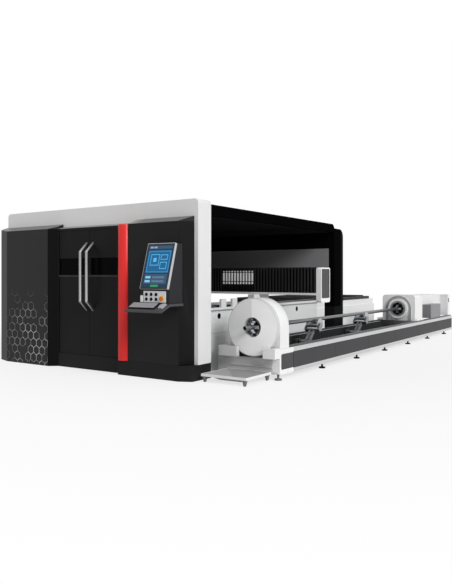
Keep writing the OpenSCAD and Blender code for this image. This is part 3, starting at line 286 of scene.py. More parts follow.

# %% [markdown]
# The light paints come first. Where a piece needs a second colour, a field at that place on the piece gives it. The
# dark holes in the bed's side and the dark inside of the tray are painted shade. TUBE_X and TUBE_Z are the axis that
# both chucks share.

# %% White and grey paints
SHADE = {"Specular_IOR_Level": 0.2}
TUBE_X, TUBE_Z = 1.885, 0.635
white = paint("white powder coat", "dfdfdf", 0.38, 0.05, 0.06, **SHADE)
# The arch's face at y -3.915, behind the door line, is painted near-black: painted shade.
fascia = field_colour(paint("fascia powder coat", "d8d8d8", 0.42, 0.05, **SHADE), "111112", (-0.4, -3.915, 0.95),
                  (1.74, 0.004, 0.96), 0.001)
bed_grey = paint("bed enamel", "d2d4d4", 0.4, 0.08, 0.2, **SHADE)
HOLE_R, HOLE_Z = 0.0388, 0.7361
# The holes in the bed's side are painted near-black: painted shade.
for hole_y in (-3.1586, -2.4227, -1.6868, -0.9509):
    field_colour(bed_grey, "0e0e0f", (1.16, hole_y, HOLE_Z), (0.09, HOLE_R, HOLE_R), HOLE_R)
panel_grey = paint("panel grey coat", "424143", 0.42, 0.08, 0.05, Specular_IOR_Level=0.03)
shelf_grey = paint("shelf grey paint", "444446", 0.42, 0.06, **SHADE)
red = paint("red gloss paint", "db2c2b", 0.3, 0.03, bump=0.02, **SHADE)
# The inside of the tray is painted darker grey: painted shade.
tray_grey = field_colour(paint("tray coat", "e2e2e2", 0.4, 0.06, 0.1, **SHADE), "9c9c9d",
                     (1.805, -3.67, 0.05), (0.309, 0.274, 0.0485), 0.001)
cap_grey = paint("cap paint", "19191a", 0.42, 0.06, **SHADE)
# The caps' upward faces are painted lighter, and lighter still above the doors: painted light.
lit_top = maths(cap_grey.node_tree, "GREATER_THAN", object_axes(cap_grey.node_tree, "Normal")[2], 0.5)
over_with(cap_grey, lit_top, "6a6a6b")
door_part = group_node(cap_grey.node_tree, field, {"Centre": (-0.2, -4.0, 1.95), "Half size": (0.765, 0.2, 0.1),
                                                   "Corner": 0.001}).outputs["Mask"]
over_with(cap_grey, maths(cap_grey.node_tree, "MULTIPLY", lit_top, door_part), "8f8f90")
# Painted shade: the tube bed's white is given darker, for its place near the floor, and its trough's inside dark grey.
bed_white = field_colour(paint("tube bed coat", "bcbcbc", 0.38, 0.05, 0.06, **SHADE), "2a2a2b",
                     (1.8375, 0.565, 0.2), (0.309, 3.945, 0.179), 0.002)
beam_cap = field_colour(paint("beam cap coat", "e2e2e2", 0.38, 0.05, **SHADE), "3a393b",
                    (2.195, -1.9915, 1.162), (0.02, 0.125, 0.204), 0.024)
bed_cap = field_colour(paint("bed cap coat", "e2e2e2", 0.38, 0.05, **SHADE), "3a393b",
                   (2.25, -3.165, 0.223), (0.02, 0.186, 0.104), 0.034)
ARCH_R, ARCH_BACK_Y = 0.2, 1.972
rear_white = paint("rear chuck coat", "dcdcdc", 0.38, 0.05, **SHADE)
tree = rear_white.node_tree
axes = object_axes(tree)
# Faces that look forward are painted lighter: painted light.
over_with(rear_white, maths(tree, "LESS_THAN", object_axes(tree, "Normal")[1], -0.5), "f2f2f2")
rise = maths(tree, "MAXIMUM", maths(tree, "SUBTRACT", axes[2], TUBE_Z), 0.0)
reach = add(tree, "ShaderNodeCombineXYZ", [(0, maths(tree, "SUBTRACT", axes[0], TUBE_X)), (1, rise)]).outputs[0]
outside = maths(tree, "GREATER_THAN", add(tree, "ShaderNodeVectorMath", [(0, reach)],
                                          operation="LENGTH").outputs["Value"], ARCH_R)
trim = maths(tree, "MULTIPLY", outside, maths(tree, "LESS_THAN", axes[1], ARCH_BACK_Y))
over_with(rear_white, trim, "a2a2a4")
rear_case = field_colour(paint("rear cabinet coat", "dcdcdc", 0.38, 0.05, **SHADE), "777779",
                     (2.156, 3.25, 0.548), (0.088, 0.352, 0.139), 0.001)
# The box's slot is painted near-black: painted shade.
field_colour(rear_case, "0c0c0d", (2.226, 4.25, 0.7325), (0.0148, 0.0306, 0.0456), 0.0005)
print("paints:", len(bpy.data.materials))

# %% [markdown]
# The chuck's cover is a turned disc. Its face gets a painted sheen: a ramp over the angle round the axis makes one side
# of the face darker than the other, with a sharp change at the top.

# %% Painted sheen on the turned face
FACE_Y, DISC_EDGE_Y = -3.43, -3.376
disc = paint("turned disc coat with painted sheen", "fafafa", 0.38, 0.04, **SHADE)
tree = disc.node_tree
axes = object_axes(tree)
angle = maths(tree, "ARCTAN2", maths(tree, "SUBTRACT", axes[0], TUBE_X),
              maths(tree, "SUBTRACT", axes[2], TUBE_Z))
part = add(tree, "ShaderNodeMapRange", [(0, angle), (1, -math.pi), (2, math.pi)]).outputs[0]
ramp = add(tree, "ShaderNodeValToRGB", [(0, part)])
stops = ramp.color_ramp.elements
PAINTED_SHEEN = [(0.0, "f4f4f4"), (0.25, "d0d0d0"), (0.49, "dedede"), (0.5, "f2f2f2"), (0.75, "ffffff"),
           (1.0, "f4f4f4")]
for n, (where, code) in enumerate(PAINTED_SHEEN):
    stop = stops[n] if n < 2 else stops.new(where)
    stop.position = where
    stop.color = srgb(code)
principled = tree.nodes["Principled BSDF"]
under = principled.inputs["Base Color"].links[0].from_socket
face = maths(tree, "LESS_THAN", axes[1], FACE_Y)
tree.links.new(mixed(tree, face, under, mixed(tree, 1.0, under, ramp.outputs[0], "MULTIPLY")),
               principled.inputs["Base Color"])
# The disc's rounded rim is painted darker: painted shade.
rounded = maths(tree, "GREATER_THAN", object_axes(tree, "Normal")[1], -0.97)
over_with(disc, maths(tree, "MULTIPLY", rounded, maths(tree, "LESS_THAN", axes[1], DISC_EDGE_Y)), "c4c4c4")
print("sectors:", len(stops))

# %% [markdown]
# Black paint under a white sky turns grey as soon as it mirrors the sky, so the black finishes here reflect little.
# What tells them apart is their depth: the roof is nearly lost in shade, the doors are a little lighter, and the
# cabinets are dark grey. Their slanting sides are painted darker: painted shade.

# %% Black paints
DEEP, FLAT = {"Specular_IOR_Level": 0.08}, {"Specular_IOR_Level": 0.0}
black = paint("black powder coat", "19191a", 0.4, 0.3, 0.03, **DEEP)
console_black = paint("console coat", "29292b", 0.4, 0.1, **DEEP)
left_black = paint("left cabinet coat", "2b2b2c", 0.42, 0.2, 0.03, **DEEP)
# The slanting side is painted darker: painted shade.
right_black = field_colour(paint("right cabinet coat", "1f1f20", 0.4, 0.2, 0.03, **DEEP), "141415",
                       (1.36, -4.0, 1.0), (0.103, 0.2, 1.1), 0.001)
door_black = paint("door powder coat", "131314", 0.38, 0.3, 0.03, **DEEP)
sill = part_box("window_left")[0][2]
# The ledge under the windows gets a lighter strip: a painted highlight.
field_colour(door_black, "343436", (-0.35, -4.01, sill - 0.013), (0.7, 0.004, 0.0135), 0.001)
roof_black = field_colour(paint("roof powder coat", "070708", 0.45, 0.3, **FLAT), "2e2e31", (-0.4, -1.8, 2.06),
                      (1.72, 1.8, 0.062), 0.001)
# The roof's upward faces are painted lighter: painted light.
roof_top = maths(roof_black.node_tree, "GREATER_THAN", object_axes(roof_black.node_tree, "Normal")[2], 0.5)
over_with(roof_black, roof_top, "232325")
rear_black = field_colour(paint("rear frame coat", "09090a", 0.45, 0.3, **FLAT), "1b1b1c",
                      (1.3, 0.2, 0.36), (0.3, 0.4, 0.38), 0.002)
field_colour(rear_black, "1c1c1e", (-0.4, 0.4, 1.0), (1.9, 0.1, 1.2), 0.001)
field_colour(rear_black, "909092", (-0.437, 0.035, 1.583), (1.743, 0.02, 0.162), 0.004)
inner_wall = field_colour(paint("wall coat", "1c1c1e", 0.42, 0.2, **DEEP), "070708", (-2.14, -1.8, 1.0),
                      (0.05, 3.0, 2.0), 0.002)
outer_black = paint("cover sheet coat", "333335", 0.45, 0.2, 0.05, Specular_IOR_Level=0.02)
field_colour(inner_wall, "8a8a8c", (-2.15, -1.8, 0.88), (0.04, 1.83, 0.9), 0.002)
print("materials:", len(bpy.data.materials))

# %% [markdown]
# The left cabinet carries a printed pattern of pale hexagon outlines that fades out upwards. Two grids of points,
# shifted by half a cell, give the centres of a honeycomb: each spot belongs to the nearer centre, and the line is where
# it comes close to the cell's edge. A random number for each cell leaves some of the cells out.

# %% Hexagon lines group
hexes, entry, leave = new_group("hexagon lines", [
    (VALUE, "Cell", 0.12), (VALUE, "Line", 0.018), (VALUE, "Front", -4.1), (VALUE, "Kept share", 0.6)],
    [(VALUE, "Mask")])
place = add(hexes, "ShaderNodeTexCoord").outputs["Object"]
axes = add(hexes, "ShaderNodeSeparateXYZ", [(0, place)]).outputs
across = maths(hexes, "DIVIDE", axes[0], entry.outputs["Cell"])
upward = maths(hexes, "DIVIDE", axes[2], entry.outputs["Cell"])
HALF, TALL = 0.5, math.sqrt(3) / 2


def wrapped(value, reach):
    return add(hexes, "ShaderNodeMath", [(0, value), (1, reach), (2, -reach)], operation="WRAP").outputs[0]


def squared(a, b):
    return maths(hexes, "ADD", maths(hexes, "MULTIPLY", a, a), maths(hexes, "MULTIPLY", b, b))


ax, az = wrapped(across, HALF), wrapped(upward, TALL)
bx = wrapped(maths(hexes, "ADD", across, HALF), HALF)
bz = wrapped(maths(hexes, "ADD", upward, TALL), TALL)
second = maths(hexes, "GREATER_THAN", squared(ax, az), squared(bx, bz))
gx = add(hexes, "ShaderNodeMix", [(0, second), (2, ax), (3, bx)]).outputs[0]
gz = add(hexes, "ShaderNodeMix", [(0, second), (2, az), (3, bz)]).outputs[0]
side = maths(hexes, "ABSOLUTE", gx)
slant = maths(hexes, "ADD", maths(hexes, "MULTIPLY", side, HALF),
              maths(hexes, "MULTIPLY", maths(hexes, "ABSOLUTE", gz), TALL))
edge = maths(hexes, "GREATER_THAN", maths(hexes, "MAXIMUM", side, slant),
             maths(hexes, "SUBTRACT", HALF, entry.outputs["Line"]))
cell = add(hexes, "ShaderNodeCombineXYZ", [(0, maths(hexes, "ROUND", maths(hexes, "MULTIPLY",
           maths(hexes, "SUBTRACT", across, gx), 2.0))), (1, maths(hexes, "ROUND", maths(hexes, "DIVIDE",
           maths(hexes, "SUBTRACT", upward, gz), TALL)))]).outputs[0]
chance = add(hexes, "ShaderNodeTexWhiteNoise", [("Vector", cell)]).outputs["Value"]
kept = maths(hexes, "LESS_THAN", chance, entry.outputs["Kept share"])
low = add(hexes, "ShaderNodeMapRange", [(0, axes[2]), (1, 0.55), (2, 1.1), (3, 1.0), (4, 0.0)]).outputs[0]
right = add(hexes, "ShaderNodeMapRange", [(0, axes[0]), (1, -2.1), (2, -1.55), (3, 0.0), (4, 1.0)]).outputs[0]
front = maths(hexes, "LESS_THAN", axes[1], entry.outputs["Front"])
shown = maths(hexes, "MULTIPLY", maths(hexes, "MULTIPLY", edge, kept), maths(hexes, "MULTIPLY", front,
              maths(hexes, "MULTIPLY", low, right)), True)
hexes.links.new(shown, leave.inputs["Mask"])
tree = left_black.node_tree
principled = tree.nodes["Principled BSDF"]
under = principled.inputs["Base Color"].links[0].from_socket
pattern = group_node(tree, hexes, {}).outputs["Mask"]
tree.links.new(mixed(tree, pattern, under, srgb("f0f0f0")), principled.inputs["Base Color"])
# The cabinet's slanting side is painted darker: painted shade.
field_colour(left_black, "050506", (-1.0, -4.02, 1.0), (0.079, 0.12, 1.1), 0.001)
print("group:", hexes.name, len(hexes.nodes), "nodes")

# %% [markdown]
# The metals differ in the direction of their lines and in how much scale they carry. The chuck's steel is painted
# darker inside its bore, darker still in the rear chuck: painted shade. The plastics are paints with a finer grain, and
# the keyboard's metal is darker below its key tops.

# %% Metals and plastics
ground = metal("ground steel", "b9bbbe", (30.0, 900.0, 900.0), 0.22)
tube_steel = metal("drawn tube", "7e8082", (900.0, 12.0, 900.0), 0.26)
rail_steel = metal("rail steel", "5f6266", (900.0, 20.0, 900.0), 0.3)
handle_steel = metal("handle steel", "a4a4a5", (900.0, 900.0, 25.0), 0.3, bump=0.03)
slat_steel = metal("slat steel", "434446", (25.0, 700.0, 700.0), 0.42, 0.75)
shaded_chuck_steel = metal("chuck steel", "b4b6b8", (500.0, 60.0, 500.0), 0.36, 0.2, "8c8e92")
tree = shaded_chuck_steel.node_tree
axes = object_axes(tree)
reach = add(tree, "ShaderNodeCombineXYZ", [(0, maths(tree, "SUBTRACT", axes[0], TUBE_X)),
                                           (1, maths(tree, "SUBTRACT", axes[2], TUBE_Z))]).outputs[0]
centre = add(tree, "ShaderNodeVectorMath", [(0, reach)], operation="LENGTH").outputs["Value"]
BORE_R = 0.118
# Inside the bore the steel is painted darker, darker still in the rear chuck: painted shade.
bore = maths(tree, "LESS_THAN", centre, BORE_R)
over_with(shaded_chuck_steel, bore, "5a5b5e")
over_with(shaded_chuck_steel, maths(tree, "MULTIPLY", bore, maths(tree, "GREATER_THAN", axes[1], 0.0)), "222326")
zinc = metal("zinc plate", "a2a4a6", (160.0, 160.0, 160.0), 0.4, 0.35, "989b9d", 0.08)
head_alloy = metal("anodised alloy", "b6b9bc", (300.0, 300.0, 30.0), 0.3)
silver = paint("silver plastic", "a2a4a7", 0.35, 0.03, grain=1200.0, bump=0.06)
panel_silver = paint("button panel sheet", "cfd0d2", 0.35, 0.03, grain=1200.0, bump=0.06)
(x0, y0, z0), (x1, y1, z1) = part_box("monitor_bezel")
RIM = 0.009
bezel = field_colour(paint("bezel plastic", "b0b2b5", 0.35, 0.03, grain=1200.0, bump=0.06), "1c1c1e",
                 ((x0 + x1) / 2, (y0 + y1) / 2, (z0 + z1) / 2),
                 ((x1 - x0) / 2 - RIM, 1.0, (z1 - z0) / 2 - RIM), 0.003)
foot_black = field_colour(paint("foot rubber", "141415", 0.5, 0.1, grain=1600.0, bump=0.2, **DEEP), "6c6c6e",
                      (1.85, -3.65, 0.04), (0.5, 0.36, 0.1), 0.001)
black_plastic = paint("black plastic", "141415", 0.45, 0.1, grain=1600.0, bump=0.2, **DEEP)
key_grey = paint("keyboard metal", "121213", 0.36, 0.1, grain=1600.0, bump=0.1, **SHADE)
SHELF_SLOPE, SHELF_BACK_Y, SHELF_BACK_Z, KEY_FOOT = math.atan2(0.085, 0.157), -4.35, 0.94, 0.0172
tree = key_grey.node_tree
axes = object_axes(tree)
rise = maths(tree, "MULTIPLY", maths(tree, "SUBTRACT", axes[2], SHELF_BACK_Z), math.cos(SHELF_SLOPE))
slope = maths(tree, "MULTIPLY", maths(tree, "ADD", axes[1], -SHELF_BACK_Y), math.sin(SHELF_SLOPE))
above = maths(tree, "SUBTRACT", rise, slope)
over_with(key_grey, maths(tree, "GREATER_THAN", above, KEY_FOOT), "a2a4a7")
stop_red = paint("stop button plastic", "d8431d", 0.3, 0.03, grain=1500.0, bump=0.03, Coat_Weight=0.3)
yellow = paint("yellow plate", "e0b81c", 0.35, 0.03, grain=1500.0, bump=0.03, **SHADE)
pane = paint("dark pane", "030304", 0.18, 0.2, grain=40.0, bump=0.01, Specular_IOR_Level=0.02)
bellows_cloth = paint("bellows sheet", "0b0b0c", 0.3, 0.3, grain=500.0, bump=0.1, **SHADE)
bellows_edge = paint("bellows edge strip", "29292b", 0.3, 0.2, grain=500.0, bump=0.05, **SHADE)
bellows_highlight = paint("bellows strip with painted highlight", "1c1c1e", 0.3, 0.2, grain=500.0, bump=0.05, **SHADE)
# White bands on the front strips of folds 33 to 43 of the right bellows are painted highlights.
for low_z, high_z in ((1.147, 1.178), (1.19, 1.315), (1.328, 1.342)):
    field_colour(bellows_highlight, "ffffff", (0.0, -2.1, (low_z + high_z) / 2),
             (9.0, 9.0, (high_z - low_z) / 2), 0.001)
print("materials:", len(bpy.data.materials))

# %% [markdown]
# The screen shows a plain drawing program: a dark frame, a blue work area with the outlines of cut parts, and a
# column of keys. All of it is drawn with the rounded field mask and lights itself through Emission Color.

# %% Screen picture
screen_look, tree, principled = new_material("work screen", Roughness=0.22, Emission_Strength=1.1,
                                             Specular_IOR_Level=0.1)
low_corner, high_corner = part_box("monitor_screen")
SCREEN_MID = [(a + b) / 2 for a, b in zip(low_corner, high_corner)]
SCREEN_HALF = [(b - a) / 2 for a, b in zip(low_corner, high_corner)]
colour = srgb("22364c")
SCREEN_FIELDS = [
    ("2d8fc8", 0.0, 0.2, 0.86, 0.5), ("1c5f8c", 0.0, 0.2, 0.8, 0.46), ("58b4e0", -0.3, 0.28, 0.34, 0.26),
    ("1c5f8c", -0.3, 0.28, 0.3, 0.23), ("58b4e0", -0.3, 0.28, 0.12, 0.09), ("58b4e0", 0.4, 0.4, 0.26, 0.12),
    ("1c5f8c", 0.4, 0.4, 0.22, 0.09), ("58b4e0", 0.4, 0.02, 0.26, 0.16), ("1c5f8c", 0.4, 0.02, 0.22, 0.13),
    ("3a4f66", 0.0, 0.86, 0.9, 0.07), ("8fa4b6", -0.7, 0.86, 0.12, 0.04), ("8fa4b6", -0.4, 0.86, 0.12, 0.04),
    ("3a4f66", 0.0, -0.6, 0.86, 0.22), ("7fc3e6", -0.6, -0.52, 0.2, 0.05), ("7fc3e6", -0.6, -0.7, 0.2, 0.05),
    ("54708c", 0.2, -0.52, 0.46, 0.05), ("54708c", 0.2, -0.7, 0.46, 0.05), ("2f8f5a", 0.0, -0.91, 0.3, 0.05),
]
for code, across, upward, wide, tall in SCREEN_FIELDS:
    centre = (SCREEN_MID[0] + across * SCREEN_HALF[0], SCREEN_MID[1], SCREEN_MID[2] + upward * SCREEN_HALF[2])
    mask = group_node(tree, field, {"Centre": centre, "Corner": 0.003, "Half size": (
        wide * SCREEN_HALF[0], 1.0, tall * SCREEN_HALF[2])}).outputs["Mask"]
    colour = mixed(tree, mask, colour, srgb(code))
tree.links.new(colour, principled.inputs["Emission Color"])
principled.inputs["Base Color"].default_value = srgb("0a0d10")
print("screen fields:", len(SCREEN_FIELDS))

# %% [markdown]
# Each CAD piece keeps its shape and gets its finish. Its mesh is loose triangles, so a Weld modifier joins them
# first. Then a small Bevel rounds the folded edges of the sheet metal, because real edges catch a thin line of
# light. Nothing here moves a piece.

# %% Finishes on the CAD pieces
JAWS = [f"{chuck}_jaw_{number}" for chuck in ("front", "rear") for number in range(1, 5)]
FINISH = {
    white: "exchange_frame chuck_housing gantry_beam head_carriage", disc: "chuck_cover",
    bed_white: "tube_bed", rear_white: "rear_housing", rear_case: "rear_box",
    fascia: "front_arch", black: "front_frame", console_black: "hmi_housing",
    left_black: "left_cabinet", right_black: "right_cabinet",
    door_black: "door_left door_right", roof_black: "roof_shell", rear_black: "rear_frame",
    cap_grey: "front_caps", shelf_grey: "keyboard_shelf",
    red: "red_pillar", bed_grey: "bed_frame gantry_shoes", panel_grey: "tube_bed_panels z_slide",
    inner_wall: "left_wall", beam_cap: "beam_end_cap", bed_cap: "tube_end_cap",
    ground: " ".join(["support_roller_1", "support_roller_2", *JAWS]),
    tube_steel: "stock_tube", rail_steel: "linear_rails", handle_steel: "handle_left handle_right",
    slat_steel: "pallet_lower pallet_upper", shaded_chuck_steel: "front_chuck rear_chuck",
    tray_grey: "catch_tray", zinc: "support_arm_1 support_arm_2", head_alloy: "cutting_head",
    silver: "mouse", bezel: "monitor_bezel", panel_silver: "button_panel", black_plastic: "push_buttons",
    foot_black: "feet", key_grey: "keyboard",
    screen_look: "monitor_screen", stop_red: "stop_button", pane: "window_left window_right",
}
SOFT_EDGE = {"left_cabinet": 0.006, "right_cabinet": 0.006, "front_arch": 0.008, "beam_end_cap": 0.012,
             "tube_end_cap": 0.012, "hmi_housing": 0.01, "monitor_bezel": 0.006, "mouse": 0.004,
             "keyboard": 0.0006, "tube_bed": 0.002, "front_chuck": 0.0006, "rear_chuck": 0.0006,
             "pallet_lower": 0.0008, "pallet_upper": 0.0008, "push_buttons": 0.001}
SOFT_EDGE.update({name: 0.0006 for name in JAWS})
PLAIN_EDGE, EDGE_ANGLE, WELD_REACH = 0.003, math.radians(38), 0.00002
dressed = 0
for finish, names in FINISH.items():
    for name in names.split():
        piece = nodes[name]
        piece.data.materials.clear()
        piece.data.materials.append(finish)
        weld = piece.modifiers.new("weld", "WELD")
        weld.merge_threshold = WELD_REACH
        edge = piece.modifiers.new("edge", "BEVEL")
        edge.width = SOFT_EDGE.get(name, PLAIN_EDGE)
        edge.segments = 2
        edge.limit_method = "ANGLE"
        edge.angle_limit = EDGE_ANGLE
        edge.harden_normals = True
        dressed += 1
print("dressed", dressed, "of", len(nodes))

# %% [markdown]
# Things that repeat are made by Geometry Nodes: a line or a circle of points, one shape placed on each point, then
# realised to a plain mesh. A row's numbers are inputs of its node group, so one group makes several rows. The
# result is copied to a mesh of its own, so nothing is left to work out later.

# %% Helpers for repeated pieces
INT, POINT, STUFF = "NodeSocketInt", "NodeSocketVector", "NodeSocketGeometry"


def new_repeat(name, inputs):
    """A geometry group with named inputs."""
    tree = bpy.data.node_groups.new(name, "GeometryNodeTree")
    for kind, label, value in inputs:
        socket = tree.interface.new_socket(label, in_out="INPUT", socket_type=kind)
        socket.default_value = value
    tree.interface.new_socket("Geometry", in_out="OUTPUT", socket_type=STUFF)
    return tree, tree.nodes.new("NodeGroupInput"), tree.nodes.new("NodeGroupOutput")


def coloured(tree, shape, material):
    return add(tree, "GeometryNodeSetMaterial", [("Geometry", shape), ("Material", material)]).outputs[0]


def moved(tree, shape, shift, turn=(0, 0, 0)):
    return add(tree, "GeometryNodeTransform", [("Geometry", shape), ("Translation", shift),
                                               ("Rotation", turn)]).outputs[0]


def joined(tree, *shapes):
    node = tree.nodes.new("GeometryNodeJoinGeometry")
    for shape in shapes:
        tree.links.new(shape, node.inputs[0])
    return node.outputs[0]


def laid(tree, points, *shapes):
    """Each shape on its points, realised, then given its material."""
    parts = []
    for shape, material, *chosen in shapes:
        many = add(tree, "GeometryNodeInstanceOnPoints", [("Points", points), ("Instance", shape)]
                   + [("Selection", mask) for mask in chosen]).outputs[0]
        plain = add(tree, "GeometryNodeRealizeInstances", [(0, many)]).outputs[0]
        parts.append(coloured(tree, plain, material))
    return joined(tree, *parts)


def made(name, tree, body, slot, **values):
    """The group's result as a plain piece on a body."""
    maker = bpy.data.objects.new(name + "_maker", bpy.data.meshes.new(name))
    bpy.context.scene.collection.objects.link(maker)
    modifier = maker.modifiers.new("repeat", "NODES")
    modifier.node_group = tree
    sockets = {i.name: i.identifier for i in tree.interface.items_tree if i.in_out == "INPUT"}
    for label, value in values.items():
        modifier[sockets[label.replace("_", " ")]] = value
    graph = bpy.context.evaluated_depsgraph_get()
    mesh = bpy.data.meshes.new_from_object(maker.evaluated_get(graph))
    bpy.data.objects.remove(maker)
    return placed(name, mesh, body)


def placed(name, mesh, body):
    piece = bpy.data.objects.new(name, mesh)
    bpy.context.scene.collection.objects.link(piece)
    if body:
        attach(piece, body)
    return piece


print("repeat helpers ready")

# %% [markdown]
# The bellows hide the gantry's rail from sparks. Each fold is two sheets that meet at a stiff front strip. On the
# machine the right bellows folds up towards the beam's end as the carriage comes, and the left one is pulled out behind
# it. Here both are fixed rows of folds, and the right one rides on the gantry's body. The left one is drawn folded up,
# so its sheets and strips are thin.

# %% Bellows
low_corner, high_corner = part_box("beam_bellows")
FOLD_GAP, STRIP_T, STRIP_MID = 0.003, 0.005, 0.0035
FOLD_DEEP = high_corner[1] - low_corner[1] - 2 * FOLD_GAP
FOLD_TALL = high_corner[2] - low_corner[2]
folds, entry, leave = new_repeat("bellows folds", [
    (POINT, "Start", (0, 0, 0)), (VALUE, "Pitch", 0.044), (VALUE, "Sheet", 0.0025), (VALUE, "Strip", 0.025),
    (INT, "Count", 6), (INT, "Pale from", 1), (INT, "Pale to", 0)])
half_pitch = maths(folds, "MULTIPLY", entry.outputs["Pitch"], 0.5)
lean = maths(folds, "ARCTAN2", half_pitch, FOLD_DEEP)
pitch_squared = maths(folds, "MULTIPLY", half_pitch, half_pitch)
long = maths(folds, "SQRT", maths(folds, "ADD", pitch_squared, FOLD_DEEP ** 2))
size = add(folds, "ShaderNodeCombineXYZ", [(0, entry.outputs["Sheet"]), (1, long), (2, FOLD_TALL)]).outputs[0]
sheet = add(folds, "GeometryNodeMeshCube", [("Size", size)]).outputs[0]
quarter = maths(folds, "MULTIPLY", half_pitch, 0.5)
sides = []
for way in (1.0, -1.0):
    shift = add(folds, "ShaderNodeCombineXYZ", [(0, maths(folds, "MULTIPLY", quarter, way)),
                                                (1, FOLD_DEEP / 2 + FOLD_GAP), (2, FOLD_TALL / 2)]).outputs[0]
    turn = add(folds, "ShaderNodeCombineXYZ", [(2, maths(folds, "MULTIPLY", lean, -way))]).outputs[0]
    sides.append(moved(folds, sheet, shift, turn))
size = add(folds, "ShaderNodeCombineXYZ", [(0, entry.outputs["Strip"]), (1, STRIP_T), (2, FOLD_TALL)]).outputs[0]
strip = add(folds, "GeometryNodeMeshCube", [("Size", size)]).outputs[0]
strip = moved(folds, strip, (0, STRIP_MID, FOLD_TALL / 2))
step = add(folds, "ShaderNodeCombineXYZ", [(0, entry.outputs["Pitch"])]).outputs[0]
row = add(folds, "GeometryNodeMeshLine", [("Count", entry.outputs["Count"]),
                                          ("Start Location", entry.outputs["Start"]), ("Offset", step)]).outputs[0]
number = add(folds, "GeometryNodeInputIndex").outputs[0]
before = maths(folds, "LESS_THAN", number, entry.outputs["Pale from"])
after = maths(folds, "GREATER_THAN", number, entry.outputs["Pale to"])
dark = maths(folds, "MAXIMUM", before, after)
folds.links.new(laid(folds, row, (joined(folds, *sides), bellows_cloth), (strip, bellows_edge, dark),
                     (strip, bellows_highlight, maths(folds, "SUBTRACT", 1.0, dark))), leave.inputs[0])

TRAVEL, FOLDS = 3.085, 64
CARRIAGE_LEFT, CARRIAGE_RIGHT = -1.432, -1.128
bellows = []
for name, x0, x1, thick, wide, highlit in (
        ("bellows_left", low_corner[0], CARRIAGE_LEFT, 0.0006, 0.0022, (1, 0)),
        ("bellows_right", CARRIAGE_RIGHT, high_corner[0], 0.0025, 0.025, (33, 43))):
    pitch = (x1 - x0) / FOLDS
    piece = made(name, folds, None, "bellows_sheet", Start=(x0 + pitch / 2, low_corner[1], low_corner[2]),
                 Pitch=pitch, Sheet=thick, Strip=wide, Count=FOLDS, Pale_from=highlit[0], Pale_to=highlit[1])
    bellows.append((piece, x0, x1))
    print(name, FOLDS, "folds of", round(pitch * 1000, 1), "mm")
(left, x0, x1), (right, x2, x3) = bellows
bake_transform(left)
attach(right, "gantry")
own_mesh(right)
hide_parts("beam_bellows")
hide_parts("beam_bellows")

# %% [markdown]
# Rails are held by rows of cap screws, and the chucks' faces by a circle of them. Both are the same screw: a round
# head whose six-sided socket is drawn as a thin black hexagon of painted shade.

# %% Screws
def screw(tree, radius, height):
    """A cap screw along +Z, standing on the origin."""
    head = add(tree, "GeometryNodeMeshCylinder", [("Vertices", 20), ("Radius", radius),
                                                  ("Depth", height)]).outputs[0]
    key_radius = maths(tree, "MULTIPLY", radius, 0.55)
    key = add(tree, "GeometryNodeMeshCylinder", [("Vertices", 6), ("Radius", key_radius),
                                                 ("Depth", 0.0006)]).outputs[0]
    up = add(tree, "ShaderNodeCombineXYZ", [(2, maths(tree, "MULTIPLY", height, 0.5))]).outputs[0]
    top = add(tree, "ShaderNodeCombineXYZ", [(2, maths(tree, "ADD", height, 0.0002))]).outputs[0]
    return [(moved(tree, head, up), ground), (moved(tree, key, top), black_plastic)]


rows, entry, leave = new_repeat("screw row", [
    (POINT, "Start", (0, 0, 0)), (POINT, "Step", (0, 0.12, 0)), (INT, "Count", 10), (VALUE, "Radius", 0.007),
    (VALUE, "Height", 0.002)])
parts = screw(rows, entry.outputs["Radius"], entry.outputs["Height"])
row = add(rows, "GeometryNodeMeshLine", [("Count", entry.outputs["Count"]),
                                         ("Start Location", entry.outputs["Start"]),
                                         ("Offset", entry.outputs["Step"])]).outputs[0]
rows.links.new(laid(rows, row, *parts), leave.inputs[0])
RAILS = [(-1.62, -3.5, 0.876, 0.12, 27), (1.16, -3.5, 0.876, 0.12, 27), (1.47, -3.0, 0.406, 0.12, 62),
         (2.205, -3.0, 0.406, 0.12, 62)]
for number, (x, y, z, pitch, count) in enumerate(RAILS, 1):
    made(f"rail_screws_{number}", rows, "machine", "steel", Start=(x, y, z), Step=(0, pitch, 0), Count=count)

rings, entry, leave = new_repeat("screw circle", [
    (POINT, "Centre", (0, 0, 0)), (INT, "Count", 8), (VALUE, "Circle", 0.1), (VALUE, "Radius", 0.009),
    (VALUE, "Height", 0.004)])
FACE_TURN = (math.radians(90), math.radians(22.5), 0)
parts = [(moved(rings, shape, (0, 0, 0), FACE_TURN), material)
         for shape, material in screw(rings, entry.outputs["Radius"], entry.outputs["Height"])]
round_row = add(rings, "GeometryNodeMeshCircle", [("Vertices", entry.outputs["Count"]),
                                                  ("Radius", entry.outputs["Circle"])]).outputs[0]
circle = moved(rings, round_row, entry.outputs["Centre"], FACE_TURN)
rings.links.new(laid(rings, circle, *parts), leave.inputs[0])
for name, node, body in (("front_rotor_screws", "front_chuck", "front_spindle"),
                         ("rear_rotor_screws", "rear_chuck", "rear_spindle")):
    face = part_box(node)[0][1]
    made(name, rings, body, "steel", Centre=(TUBE_X, face, TUBE_Z), Count=8, Circle=0.106, Radius=0.009,
         Height=0.004)
print("screw rows:", len(RAILS), "and 2 circles")

# %% [markdown]
# The console has small fittings: a yellow plate under the stop button, a black ring round each push button, and a
# card holder at the left of the button panel.

